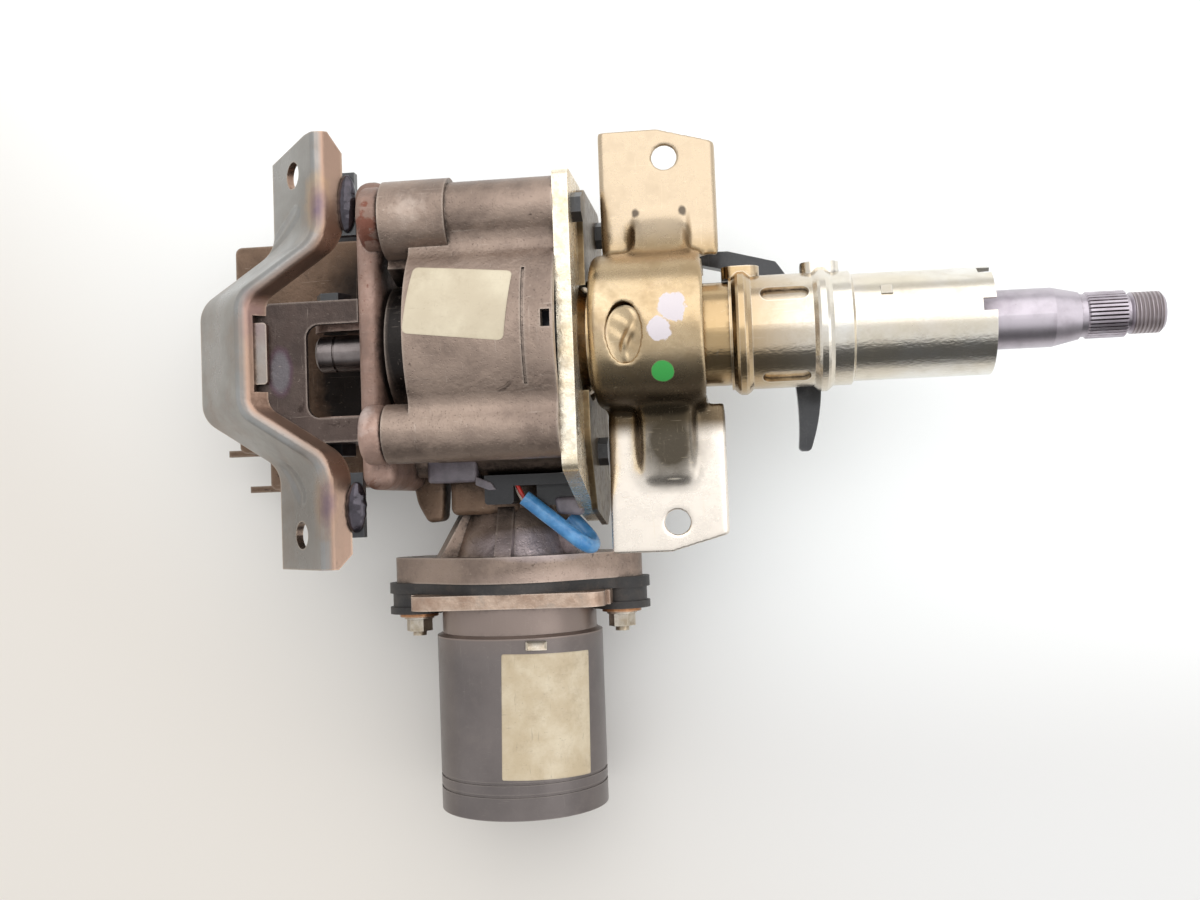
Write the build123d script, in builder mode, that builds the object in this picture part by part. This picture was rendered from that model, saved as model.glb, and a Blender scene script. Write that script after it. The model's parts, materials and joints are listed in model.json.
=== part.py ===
from build123d import *

import os
from math import cos, degrees, pi, radians, sin, sqrt, tan

# Electric power steering unit, column type, in millimetres.
# The origin is midway between the two holes of the upper bracket, on the top of its ears.
# +X runs along the column to the steering wheel, the motor points to -Y, and +Z is up.

os.makedirs("parts", exist_ok=True)

# Fits
running = 0.05  # radial clearance of a shaft in its bore
seat = 0.02  # clearance of pieces that are pressed or bolted together
free = 0.3  # gap between neighbours that move past each other

# Main places
axis_z = 4.0  # column axis above the ears
motor_x = -73.0  # worm and motor axis along the column
pitch_module = 1.8
wheel_teeth = 41
worm_starts = 2
worm_pitch_r = 8.1
wheel_pitch_r = pitch_module * wheel_teeth / 2
motor_z = axis_z - wheel_pitch_r - worm_pitch_r

# Steering shaft
shaft_tip_x = 188.5
thread_len, thread_r, thread_neck_r = 14.5, 8.0, 7.1
serration_len, serration_r, serration_depth, serrations = 14.5, 9.0, 0.7, 36
taper_len, shaft_r = 10.0, 11.5
shaft_neck_len, shaft_neck_r = 2.5, 8.3
wheel_shaft_x = 22.0  # left end of the wheel shaft
tail_r, tail_flat = 8.7, 14.0  # flatted joint of the wheel shaft and the input shaft
tail_len = 38.0
input_r = 10.0
torsion_r, torsion_end_r = 2.6, 3.4
spigot_r, spigot_len = 6.2, 22.0
dog_r, dog_width, dog_len = 9.0, 11.0, 9.0
twist_stop = 5.0  # degrees that the torsion bar may twist each way

# Output shaft
output_tip_x = -144.5
output_tip_r = 7.5
output_tip_len = 21.0
seal_r, seal_out_r = 9.0, 15.0
output_end_x = -47.0

# Jacket tubes
lower_tube_r, lower_tube_wall = 20.5, 1.6
upper_tube_r, tube_wall = 21.0, 1.6
lower_tube_end = 60.0
sleeve_x, sleeve_r, bead_r, bead_len = 24.0, 22.4, 24.5, 7.5
second_bead_x = 56.0
sleeve_end = 70.5
tube_end = 123.5
slot_x0, slot_x1, slot_width = 36.0, 54.5, 6.5
slot_angles = (56.5, 149, 236.5, 329)
cap_r, cap_out = 7.5, 25.8
pip_x, pip_turn, pip_side = 83.6, 57.0, 4.5

# Ball bearings: bore radius, outer radius and width
left_bearing = (10.0, 21.0, 12.0)
right_bearing = (12.5, 21.0, 10.0)
input_bearing = (input_r, lower_tube_r - lower_tube_wall, 11.0)
upper_bearing = (shaft_r, upper_tube_r - tube_wall, 12.0)
worm_bearing = (4.0, 11.0, 7.0)
left_bearing_x = -110.0
right_bearing_x = -61.0
input_bearing_x = -33.0
upper_bearing_x = 106.0
race_wall = 2.6

# Gear housing
housing_x0, housing_x1 = -97.5, -40.5
boss_x0 = -108.0
bulge_r, cavity_r = 46.0, 41.0
wall_x = -91.0  # inner face of the left wall
boss_blend = 8.0  # hollow radius between the chamber and its bosses
seam_x, seam_width, seam_depth = -52.5, 1.1, 0.7
rib_width, rib_count = 7.0, 6
housing_bosses = ((49.0, 24.0, 12.5), (-36.0, 30.0, 11.5), (50.0, -34.5, 11.0), (-44.0, -16.0, 8.0))
bolt_r = 3.5
worm_tube_r, worm_tube_end, worm_tube_mouth = 17.0, 40.0, -56.0
worm_bore_end = 34.0
cone_y0, cone_y1 = -66.0, -86.0
flange_t = 11.0
flange_r, flange_lug_r, stud_pitch = 37.0, 9.5, 90.0
coupling_r, motor_bore_r = 16.5, 20.0
stud_r, stud_len = 3.0, 33.5

# Pivot casting and tilt pivot
pivot_x, pivot_z, pivot_r = -140.0, -6.0, 5.0
casting_x0, casting_x1, casting_waist = -121.5, -108.0, -112.0
casting_y0, casting_y1 = -57.0, 65.0
casting_bottom, casting_top = -46.0, 24.0
casting_round, knob_x0 = 6.0, -117.5
lug_r = 8.0
tilt_range = 2.5

# Channel bracket and lower strap
sheet = 2.5
channel_x0, channel_x1 = -168.0, -124.5
channel_y0, channel_y1 = -37.0, 20.5
window = (-146.5, -27.0, 11.0)  # left edge, lower side, upper side; open at the right
window_round = 5.5
strap_fold_z, strap_t, strap_width, strap_lip = 18.0, 4.24, 37.0, 9.0
strap_ear_x, strap_mid_x = -140.0, -173.5
strap_mid_y, strap_wing_y = 24.0, 46.0
strap_y0, strap_y1 = -88.0, 88.0
strap_bend = 12.0
hem_x0, hem_x1, hem_len = -168.0, -162.0, 25.0  # tab behind the middle of the strap
strap_hole_y, strap_hole_r, strap_hole_down = 74.0, 5.5, 17.5
channel_top = strap_fold_z - strap_lip / sqrt(2)  # the plate sits under the strap's lip

# Jacket plate, backing plate
plate_x, plate_t = housing_x1, 6.0
back_x1 = -32.0

# Upper bracket
ear_t = 2.5
ear_x0, ear_x1 = -27.0, 20.5
ear_y = 86.0
hole_y, hole_r = 74.0, 5.0
dome_x0, dome_x1 = -30.0, 14.5
dome_y, dome_r, dome_wall = 3.0, 31.0, 2.3
rim_r, heel_r = 26.7, 5.0
gusset_x, gusset_width, gusset_top = -3.0, 22.0, 13.0
gusset_ends = (51.5, -60.0)
clamp_x, clamp_z, clamp_r = -6.0, -33.0, 5.0
side_t = 2.2

# Motor
can_r, can_wall = 36.0, 2.0
collar_r = 33.6
rubber_t, steel_t = 4.5, 6.0
damper_r, damper_waist_r, damper_len = 12.5, 11.2, 13.5
motor_plate_size = (82.0, 70.0)
motor_end_y = -193.5
can_round = 8.0
crimp_places, crimp_width, crimp_depth = (-178.0, -183.0), 1.2, 0.5
rotor_r = 25.0

# Control unit
ecu = (-199.0, -105.0, -54.0, 57.0)  # low x, high x, low y, high y
ecu_top, ecu_t = -46.0, 26.0

column_axis = Axis((0, 0, axis_z), (1, 0, 0))
motor_axis = Axis((motor_x, 0, motor_z), (0, 1, 0))
column_side = Plane(origin=(0, 0, axis_z), x_dir=(1, 0, 0), z_dir=(0, -1, 0))
motor_side = Plane(origin=(motor_x, 0, motor_z), x_dir=(0, 1, 0), z_dir=(1, 0, 0))


def across(x):
    # Square to the column: local x is +Y and local y is +Z, from the column axis.
    return Plane(origin=(x, 0, axis_z), x_dir=(0, 1, 0), z_dir=(1, 0, 0))


def along(y):
    # Side view at y: local x is +X and local y is +Z from the column axis; extrudes to -Y.
    return Plane(origin=(0, y, axis_z), x_dir=(1, 0, 0), z_dir=(0, -1, 0))


def motor_cut(y):
    # Square to the motor: local x is +X and local y is +Z, from the motor axis; extrudes to -Y.
    return Plane(origin=(motor_x, y, motor_z), x_dir=(1, 0, 0), z_dir=(0, -1, 0))


def level(z):
    # Plan view at z above the column axis.
    return Plane.XY.offset(axis_z + z)


def turned(points, side=column_side, axis=column_axis, mode=Mode.ADD):
    with BuildSketch(side) as half:
        with BuildLine():
            Polyline(*points, close=True)
        make_face()
    revolve(half.sketch, axis=axis, mode=mode)


def ring(x0, x1, outer, inner, side=column_side, axis=column_axis, mode=Mode.ADD):
    turned([(x0, inner), (x1, inner), (x1, outer), (x0, outer)], side, axis, mode)


def motor_ring(y0, y1, outer, inner, mode=Mode.ADD):
    ring(y0, y1, outer, inner, motor_side, motor_axis, mode)


def flatted(radius, width, plane, amount, mode=Mode.ADD):
    with BuildSketch(plane) as outline:
        Circle(radius)
        Rectangle(2 * radius, width, mode=Mode.INTERSECT)
    extrude(outline.sketch, amount=amount, mode=mode)


def hexagon(plane, place, across_flats, amount):
    with BuildSketch(plane) as outline:
        with Locations(place):
            RegularPolygon(across_flats / 2, 6, major_radius=False)
    extrude(outline.sketch, amount=amount)


def disc(plane, place, radius, amount, mode=Mode.ADD):
    with BuildSketch(plane) as outline:
        with Locations(place):
            Circle(radius)
    extrude(outline.sketch, amount=amount, mode=mode)


def round_column(turn):
    # Square to the direction at this angle about the column, from +Y; local x is +X.
    out = (0, cos(radians(turn)), sin(radians(turn)))
    return Plane(origin=(0, 0, axis_z), x_dir=(1, 0, 0), z_dir=out)


def write(piece, label):
    piece.label = label
    export_step(piece, f"parts/{label}.step")


def bearing_outer(x0, sizes, side=column_side, axis=column_axis):
    # Outer race with its two shields.
    bore, outer, width = sizes
    inner = bore + race_wall
    lip = 1.2
    groove = outer - race_wall
    turned(
        [
            (x0, outer - seat), (x0, inner + free), (x0 + lip, inner + free), (x0 + lip, groove),
            (x0 + width - lip, groove), (x0 + width - lip, inner + free),
            (x0 + width, inner + free), (x0 + width, outer - seat),
        ],
        side,
        axis,
    )


def bearing_inner(x0, sizes, side=column_side, axis=column_axis):
    # Inner race with the row of balls as one band.
    bore, outer, width = sizes
    inner, groove = bore + race_wall, outer - race_wall - free
    band = width / 4
    turned(
        [
            (x0, bore + seat), (x0 + width, bore + seat), (x0 + width, inner),
            (x0 + width / 2 + band, inner), (x0 + width / 2 + band / 2, groove),
            (x0 + width / 2 - band / 2, groove), (x0 + width / 2 - band, inner), (x0, inner),
        ],
        side,
        axis,
    )


# Lower mounting strap: a hat-shaped band pulled down at 45 degrees, with a lip on its other side
with BuildPart() as lower_bracket:
    with BuildSketch(level(strap_fold_z)) as band:
        with BuildLine():
            FilletPolyline(
                (strap_ear_x, strap_y1),
                (strap_ear_x, strap_wing_y),
                (strap_mid_x, strap_mid_y),
                (strap_mid_x, -strap_mid_y),
                (strap_ear_x, -strap_wing_y),
                (strap_ear_x, strap_y0),
                radius=strap_bend,
            )
            offset(amount=strap_t, side=Side.LEFT)
        make_face()
    extrude(band.sketch, amount=strap_width, dir=(-1, 0, -1))
    extrude(band.sketch, amount=strap_lip, dir=(1, 0, -1))
    ridge = lower_bracket.faces().sort_by(Axis.Z)[-1]
    fillet(ridge.edges().filter_by(lambda e: abs(e.tangent_at(0).X) < 0.999), 3.5)
    face_down = Plane(
        origin=(strap_ear_x, 0, axis_z + strap_fold_z), x_dir=(-1, 0, -1), z_dir=(1, 0, -1)
    )
    with BuildSketch(face_down) as holes:
        with Locations((strap_hole_down, strap_hole_y), (strap_hole_down, -strap_hole_y)):
            Circle(strap_hole_r)
    extrude(holes.sketch, amount=20, both=True, mode=Mode.SUBTRACT)
    with BuildSketch(face_down) as ear_end:
        with BuildLine():
            Polyline((0, strap_y1 + 1), (60, strap_y1 + 1), (60, 79), close=True)
        make_face()
    extrude(ear_end.sketch, amount=20, both=True, mode=Mode.SUBTRACT)
    # Cut corners of the lip, and the piece trimmed off behind the middle
    lip_down = Plane(
        origin=(strap_ear_x + strap_t, 0, axis_z + strap_fold_z), x_dir=(1, 0, -1), z_dir=(1, 0, 1)
    )
    with BuildSketch(lip_down) as lip_ends:
        for end_y, way, cut in ((strap_y1, 1, 8), (strap_y0, -1, 6)):
            with BuildLine():
                Polyline(
                    (strap_lip * 0.3, end_y + way), (2 * strap_lip, end_y + way),
                    (2 * strap_lip, end_y - way * (cut + 6)), (strap_lip, end_y - way * cut),
                    (strap_lip * 0.3, end_y), close=True,
                )
            make_face()
    extrude(lip_ends.sketch, amount=6, both=True, mode=Mode.SUBTRACT)
    with BuildSketch(level(strap_fold_z + 1)) as trim:
        with Locations((strap_mid_x + strap_t + 2.2, 0)):
            Rectangle(20, hem_len + 6, align=(Align.MIN, Align.CENTER))
    extrude(trim.sketch, amount=-20, mode=Mode.SUBTRACT)
    with BuildSketch(level(channel_top)) as hem:
        with Locations(((hem_x0 + hem_x1) / 2, 0)):
            RectangleRounded(hem_x1 - hem_x0, hem_len, 1.5)
    extrude(hem.sketch, amount=2.6)

# Channel bracket under the strap: window plate with two side walls for the tilt pivot
with BuildPart() as channel_bracket:
    with BuildSketch(level(channel_top)) as top:
        with BuildLine():
            Polyline(
                (channel_x0, channel_y1 - 6),
                (channel_x0 + 6, channel_y1),
                (channel_x1, channel_y1),
                (channel_x1, channel_y0),
                (channel_x0 + 22, channel_y0),
                (channel_x0, channel_y0 + 17),
                close=True,
            )
        make_face()
        with BuildSketch(mode=Mode.SUBTRACT):
            with Locations((window[0], window[1])):
                Rectangle(
                    2 * (channel_x1 - window[0]), window[2] - window[1],
                    align=(Align.MIN, Align.MIN),
                )
            fillet(vertices(), window_round)
    extrude(top.sketch, amount=-sheet)
    for wall_y, out in ((channel_y1, -sheet), (channel_y0, sheet)):
        with BuildSketch(along(wall_y)) as wall:
            with BuildLine():
                Polyline(
                    (channel_x0 + 14, channel_top - sheet),
                    (channel_x1, channel_top - sheet),
                    (channel_x1, pivot_z - 6),
                    (pivot_x + 8, -22),
                    (pivot_x - 8, -22),
                    (channel_x0 + 14, pivot_z + 4),
                    close=True,
                )
            make_face()
            fillet(wall.vertices().group_by(Axis.Z)[0], 6)
            with Locations((pivot_x, pivot_z)):
                Circle(pivot_r + seat, mode=Mode.SUBTRACT)
        extrude(wall.sketch, amount=-out)

# Black backing plates behind the ears, with their weld blocks
with BuildPart() as ear_backing_plates:
    for low, high in ((46.5, 72.0), (-75.5, -49.5)):
        with BuildSketch(level(channel_top)) as pad:
            with Locations(((strap_ear_x + channel_x1) / 2, (low + high) / 2)):
                Rectangle(channel_x1 - strap_ear_x, high - low)
        extrude(pad.sketch, amount=-4)

# Pivot bolts of the column tilt
with BuildPart() as pivot_bolts:
    for wall_y, way in ((channel_y1, 1), (channel_y0, -1)):
        disc(along(wall_y), (pivot_x, pivot_z), pivot_r, 11 * way)
        hexagon(along(wall_y + way * 5), (pivot_x, pivot_z), 13, 5 * way)

# Upper bracket: saddle over the jacket with two ears


def saddle(inner):
    # Arch over the column with straight legs, cut off under the ears.
    with BuildSketch(across(dome_x0)) as arch:
        with Locations((dome_y, 0)):
            Circle(dome_r)
        with Locations((dome_y, -dome_r)):
            Rectangle(2 * dome_r, 2 * dome_r)
        with Locations((dome_y, 0)):
            Circle(inner, mode=Mode.SUBTRACT)
        with Locations((dome_y, -dome_r)):
            Rectangle(2 * inner, 2 * dome_r, mode=Mode.SUBTRACT)
        with Locations((0, -axis_z - ear_t - dome_r * 2)):
            Rectangle(4 * dome_r, 4 * dome_r, mode=Mode.SUBTRACT)
    return arch.sketch


with BuildPart() as upper_bracket:
    extrude(saddle(dome_r - dome_wall), amount=dome_x1 - dome_x0)
    extrude(saddle(rim_r), amount=dome_wall)
    left_rim, right_rim = upper_bracket.edges().filter_by(
        lambda e: e.geom_type == GeomType.CIRCLE and abs(e.radius - dome_r) < 0.01
    ).sort_by(Axis.X)
    fillet(left_rim, 3.8)
    fillet(right_rim, 1.6)
    for way in (1, -1):
        inner = dome_y + way * (dome_r - dome_wall / 2)
        with BuildSketch(Plane.XY) as ear:
            with BuildLine():
                Polyline(
                    (ear_x0, inner),
                    (ear_x0, way * ear_y),
                    (-3, way * ear_y),
                    (ear_x1, way * (ear_y - 6.5)),
                    (ear_x1, inner),
                    close=True,
                )
            make_face()
            with Locations((0, way * hole_y)):
                Circle(hole_r, mode=Mode.SUBTRACT)
        extrude(ear.sketch, amount=-ear_t)
        # Rolled side flanges
        for edge_x, low in ((ear_x0, ear_y), (ear_x1 - ear_t, ear_y - 6.5)):
            with BuildSketch(Plane.XY.offset(-ear_t)) as flange:
                start = dome_y + way * (dome_r + 1)
                with Locations((edge_x + ear_t / 2, (start + way * low) / 2)):
                    Rectangle(ear_t, abs(way * low - start))
            extrude(flange.sketch, amount=-7)
    outer = upper_bracket.edges().filter_by(Axis.Y).filter_by(
        lambda e: abs(e.center().Z) < 0.01 and e.length > 30
    )
    fillet(outer, 2.2)
    # Heels of the saddle, and the ribs pressed from it on to the ears
    for end_y, way in zip(gusset_ends, (1, -1)):
        wall_y = dome_y + way * dome_r
        with BuildSketch(across(dome_x0 + 4)) as cove:
            with Locations((wall_y + way * heel_r / 2, heel_r / 2 - axis_z)):
                Rectangle(heel_r, heel_r)
            with Locations((wall_y + way * heel_r, heel_r - axis_z)):
                Circle(heel_r, mode=Mode.SUBTRACT)
        extrude(cove.sketch, amount=dome_x1 - dome_x0 - 5.5)
        root_y = wall_y - way
        with BuildPart() as gusset:
            with BuildSketch(across(gusset_x - gusset_width / 2)) as ramp:
                with BuildLine():
                    Polyline(
                        (root_y, -axis_z - 0.5), (root_y, gusset_top - axis_z),
                        (root_y + way * 4, gusset_top - axis_z - 3.5),
                        (end_y - way * 5, -axis_z + 3), (end_y, -axis_z), (end_y, -axis_z - 0.5),
                        close=True,
                    )
                make_face()
            extrude(ramp.sketch, amount=gusset_width)
            crest = gusset.edges().filter_by(
                lambda e: abs(e.tangent_at(0).X) < 0.01 and e.center().Z > 0.5
                and abs(e.tangent_at(0).Z) < 0.99
            )
            fillet(crest, 3)
    with BuildSketch(level(0)) as window_hole:
        with Locations((-16.0, -1.0)):
            Ellipse(6.6, 11.5)
    extrude(window_hole.sketch, amount=dome_r + 2, mode=Mode.SUBTRACT)

# Side plates under the saddle, with the slots of the tilt clamp
plate_gap_low = dome_y - dome_r + dome_wall
plate_gap_high = dome_y + dome_r - dome_wall
lever_arm = (clamp_x - pivot_x, clamp_z - pivot_z)
slot_turn = degrees(pi / 2) + degrees(-abs(lever_arm[1]) / lever_arm[0])
slot_travel = 2 * sqrt(lever_arm[0] ** 2 + lever_arm[1] ** 2) * radians(tilt_range)
with BuildPart() as clamp_side_plates:
    for y0, thick in ((plate_gap_low, side_t), (plate_gap_high, -side_t)):
        with BuildSketch(along(y0)) as side:
            with BuildLine():
                Polyline(
                    (dome_x0 + 5, 0), (dome_x1 - 1, 0), (dome_x1 - 1, -30),
                    (clamp_x + 12, -52), (clamp_x - 10, -52), (dome_x0 + 5, -32), close=True,
                )
            make_face()
            fillet(side.vertices().group_by(Axis.Z)[0], 6)
            with Locations(Location((clamp_x, clamp_z), slot_turn)):
                SlotCenterToCenter(slot_travel + 1, 2 * (clamp_r + 0.5), mode=Mode.SUBTRACT)
        extrude(side.sketch, amount=-thick)

# Pivot casting: dog-bone flange with two lugs on the tilt pivot
with BuildPart() as pivot_casting:
    with BuildSketch(level(casting_bottom)) as bone:
        with BuildLine():
            Polyline(
                (casting_x0, casting_y0), (casting_x0, casting_y1), (casting_x1, casting_y1),
                (casting_x1, casting_y1 - 24), (casting_waist, casting_y1 - 34),
                (casting_waist, casting_y0 + 28), (casting_x1, casting_y0 + 20),
                (casting_x1, casting_y0), close=True,
            )
        make_face()
        fillet(bone.vertices(), casting_round)
    extrude(bone.sketch, amount=casting_top - casting_bottom)
    fillet(pivot_casting.faces().sort_by(Axis.Z)[-1].edges(), 4.5)
    for boss_y, boss_z, boss_r in housing_bosses[:2]:
        with BuildPart() as knob:
            disc(across(knob_x0), (boss_y, boss_z), boss_r, casting_x1 - knob_x0)
            fillet(knob.edges().filter_by(GeomType.CIRCLE), 3)
    for lug_y, width in ((channel_y1 - sheet - free, 8.4), (channel_y0 + sheet + free + 8.4, 8.4)):
        with BuildSketch(along(lug_y)) as lug:
            with Locations((pivot_x, pivot_z)):
                Circle(lug_r)
            with Locations(((pivot_x + casting_x0 + 2) / 2, pivot_z)):
                Rectangle(casting_x0 + 2 - pivot_x, 2 * lug_r)
            with Locations((pivot_x, pivot_z)):
                Circle(pivot_r + running, mode=Mode.SUBTRACT)
        extrude(lug.sketch, amount=width)
    ring(casting_x0 - 1, casting_x1 + 1, seal_out_r, 0, mode=Mode.SUBTRACT)
    for boss_y, boss_z, boss_r in housing_bosses:
        disc(across(casting_x0 + 3), (boss_y, boss_z), bolt_r + seat, 20, Mode.SUBTRACT)

with BuildPart() as shaft_seal:
    ring(casting_x0 + 3, casting_x0 + 9, seal_out_r - seat, seal_r + running)

# Gear housing: wheel chamber, bolt bosses, worm tube, ribbed cone and motor flange
with BuildPart() as gear_housing:
    with BuildSketch(across(housing_x0)) as chamber:
        Circle(bulge_r)
        with Locations((8, -9)):
            RectangleRounded(108, 62, 8)
        for boss_y, boss_z, boss_r in housing_bosses:
            with Locations((boss_y, boss_z)):
                Circle(boss_r)
        offset(amount=boss_blend)
        offset(amount=-boss_blend)
    extrude(chamber.sketch, amount=housing_x1 - housing_x0)
    for boss_y, boss_z, boss_r in housing_bosses:
        disc(across(boss_x0), (boss_y, boss_z), boss_r, housing_x0 - boss_x0 + 2)
    # The first boss has a wider collar at its left end
    first_y, first_z, first_r = housing_bosses[0]
    with BuildSketch(across(boss_x0)) as collar:
        with Locations((first_y - 1, first_z - 1)):
            Circle(first_r + 3)
        with Locations((first_y - first_r - 4, first_z - 8)):
            Rectangle(first_r, 14, rotation=-20)
    extrude(collar.sketch, amount=26)
    ring(left_bearing_x, housing_x0 + 1, left_bearing[1] + 5, 0)
    turned(
        [
            (worm_tube_end, 0), (worm_tube_end, worm_tube_r), (worm_tube_mouth + 12, worm_tube_r),
            (worm_tube_mouth + 4, coupling_r + 4), (cone_y0, coupling_r + 5), (cone_y1, 29),
            (cone_y1, 0),
        ],
        motor_side,
        motor_axis,
    )
    with BuildSketch(motor_cut(cone_y1)) as motor_flange:
        Circle(flange_r)
        with Locations((-stud_pitch / 2, 0), (stud_pitch / 2, 0)):
            Circle(flange_lug_r)
        make_hull()
    extrude(motor_flange.sketch, amount=flange_t)
    # Ribs along the cone
    with BuildSketch(motor_side) as cone_rib:
        with BuildLine():
            Polyline(
                (cone_y1, 10), (cone_y1, flange_r - 1), (cone_y0, 24), (cone_y0 + 8, worm_tube_r),
                (cone_y0 + 8, 10), close=True,
            )
        make_face()
    blade = extrude(cone_rib.sketch, amount=rib_width / 2, both=True, mode=Mode.PRIVATE)
    for rib in range(rib_count):
        add(blade.rotate(motor_axis, 360 / rib_count * rib))
    # Inside: wheel chamber, bearing seat, worm bore and motor spigot
    ring(wall_x, housing_x1 + 1, cavity_r, 0, mode=Mode.SUBTRACT)
    ring(left_bearing_x - 1, wall_x + 1, left_bearing[1], 0, mode=Mode.SUBTRACT)
    motor_ring(worm_tube_mouth - 1, worm_bore_end, worm_bearing[1], 0, mode=Mode.SUBTRACT)
    motor_ring(cone_y1 + 10, worm_tube_mouth, coupling_r, 0, mode=Mode.SUBTRACT)
    motor_ring(cone_y1 - flange_t - 1, cone_y1 + 10, motor_bore_r, 0, mode=Mode.SUBTRACT)
    # Seam on the chamber's top and the vent slot at its right end
    with BuildSketch(across(seam_x)) as seam:
        Circle(bulge_r + 5)
        Circle(bulge_r - seam_depth, mode=Mode.SUBTRACT)
        with Locations((2, bulge_r)):
            Rectangle(44, 30, mode=Mode.INTERSECT)
    extrude(seam.sketch, amount=seam_width, mode=Mode.SUBTRACT)
    with BuildSketch(level(cavity_r - 1)) as vent:
        with Locations((housing_x1 - 2.8, 3.6)):
            Rectangle(3.5, 6.5)
    extrude(vent.sketch, amount=10, mode=Mode.SUBTRACT)
    for boss_y, boss_z, boss_r in housing_bosses:
        disc(across(boss_x0 - 1), (boss_y, boss_z), bolt_r + seat, 80, Mode.SUBTRACT)
    for side in (-1, 1):
        disc(motor_cut(cone_y1 + 1), (side * stud_pitch / 2, 0), stud_r + seat, 20, Mode.SUBTRACT)

# Input shaft, with its dogs in the output shaft and its flatted tail in the wheel shaft
socket_x = output_end_x - dog_len
with BuildPart() as input_shaft:
    shoulder_x = input_bearing_x - 6
    turned(
        [
            (socket_x - spigot_len, 0), (socket_x - spigot_len, spigot_r), (socket_x, spigot_r),
            (socket_x, 5), (output_end_x + 0.5, 5), (output_end_x + 0.5, input_r - 1),
            (shoulder_x, input_r - 1), (shoulder_x, input_r), (wheel_shaft_x - 2, input_r),
            (wheel_shaft_x - 2, 0),
        ]
    )
    flatted(dog_r, dog_width, across(socket_x), dog_len + 0.5)
    flatted(tail_r, tail_flat, across(wheel_shaft_x - 2), tail_len)
    ring(socket_x - spigot_len - 1, -2, torsion_end_r + running, 0, mode=Mode.SUBTRACT)

with BuildPart() as wheel_shaft:
    serration_x0 = shaft_tip_x - thread_len - serration_len
    taper_x1 = serration_x0 - shaft_neck_len
    turned(
        [
            (wheel_shaft_x, 0), (wheel_shaft_x, shaft_r), (taper_x1 - taper_len, shaft_r),
            (taper_x1, serration_r + 0.2), (taper_x1, shaft_neck_r), (serration_x0, shaft_neck_r),
            (serration_x0 + 0.7, serration_r),
            (serration_x0 + serration_len, serration_r), (serration_x0 + serration_len, thread_neck_r),
            (serration_x0 + serration_len + 1.6, thread_neck_r),
            (serration_x0 + serration_len + 2.5, thread_r), (shaft_tip_x - 1.5, thread_r),
            (shaft_tip_x, thread_r - 1.5), (shaft_tip_x, 0),
        ]
    )
    with BuildSketch(across(serration_x0)) as notches:
        with PolarLocations(serration_r, serrations):
            Polygon((-serration_depth, 0), (0.15, 0.42), (0.15, -0.42), align=None)
    extrude(notches.sketch, amount=serration_len, mode=Mode.SUBTRACT)
    flatted(
        tail_r + running, tail_flat + 2 * running, across(wheel_shaft_x - 1), tail_len + 2,
        Mode.SUBTRACT,
    )

# Output shaft with the socket for the input dogs
with BuildPart() as output_shaft:
    left_seat_end = left_bearing_x + left_bearing[2]
    seat_x0 = motor_x - 9
    turned(
        [
            (output_tip_x, 0), (output_tip_x, output_tip_r - 1), (output_tip_x + 1, output_tip_r),
            (output_tip_x + 7, output_tip_r), (output_tip_x + 7, output_tip_r - 0.6),
            (output_tip_x + 8, output_tip_r - 0.6), (output_tip_x + 8, output_tip_r),
            (output_tip_x + output_tip_len, output_tip_r),
            (output_tip_x + output_tip_len + 1.5, seal_r), (left_bearing_x - 1, seal_r),
            (left_bearing_x - 1, left_bearing[0]), (left_seat_end, left_bearing[0]),
            (left_seat_end, 12.3), (left_seat_end + 2, 13), (seat_x0, 13), (seat_x0, 12),
            (right_bearing_x - 3, 12), (right_bearing_x - 3, 14.5), (right_bearing_x, 14.5),
            (right_bearing_x, right_bearing[0]),
            (output_end_x, right_bearing[0]), (output_end_x, 0),
        ]
    )
    ring(socket_x - spigot_len - 1, output_end_x + 1, spigot_r + running * 2, 0, mode=Mode.SUBTRACT)
    ring(-122, socket_x, torsion_end_r + seat, 0, mode=Mode.SUBTRACT)
    for lean in (-twist_stop, twist_stop):
        with BuildSketch(across(socket_x - 0.3)) as slot:
            Circle(dog_r + running * 2)
            Rectangle(3 * dog_r, dog_width + 2 * running, rotation=lean, mode=Mode.INTERSECT)
        extrude(slot.sketch, amount=dog_len + 2, mode=Mode.SUBTRACT)

with BuildPart() as torsion_bar:
    turned(
        [
            (-121, 0), (-121, torsion_end_r), (-108, torsion_end_r), (-105, torsion_r),
            (-22, torsion_r), (-19, torsion_end_r), (-6, torsion_end_r), (-6, 0),
        ]
    )

# Bearings on the column
with BuildPart() as output_bearing_outers:
    bearing_outer(left_bearing_x, left_bearing)
    bearing_outer(right_bearing_x, right_bearing)
with BuildPart() as output_bearing_inners:
    bearing_inner(left_bearing_x, left_bearing)
    bearing_inner(right_bearing_x, right_bearing)
with BuildPart() as input_bearing_outer:
    bearing_outer(input_bearing_x, input_bearing)
with BuildPart() as input_bearing_inner:
    bearing_inner(input_bearing_x, input_bearing)
with BuildPart() as upper_bearing_outer:
    bearing_outer(upper_bearing_x, upper_bearing)
with BuildPart() as upper_bearing_inner:
    bearing_inner(upper_bearing_x, upper_bearing)
with BuildPart() as bearing_carrier:
    ring(right_bearing_x, right_bearing_x + 9, cavity_r - seat, right_bearing[1] + seat)

# Worm wheel: nylon rim with helical teeth on a steel hub
flank_gap = 0.16
addendum, dedendum = pitch_module, 1.25 * pitch_module
face_width = 14.0
slope = tan(radians(20))
lead = worm_starts * pi * pitch_module
half_tooth = pi * pitch_module / 4 - flank_gap
hub_r = 24.0


def tooth_corners(turn):
    # Root, tip, tip and root of one tooth, as points about the wheel's centre.
    corners = []
    for height, side in ((-dedendum, -1), (addendum, -1), (addendum, 1), (-dedendum, 1)):
        radius = wheel_pitch_r + height
        angle = turn + side * (half_tooth - height * slope) / radius
        corners.append((radius * sin(angle), -radius * cos(angle)))
    return corners


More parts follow.
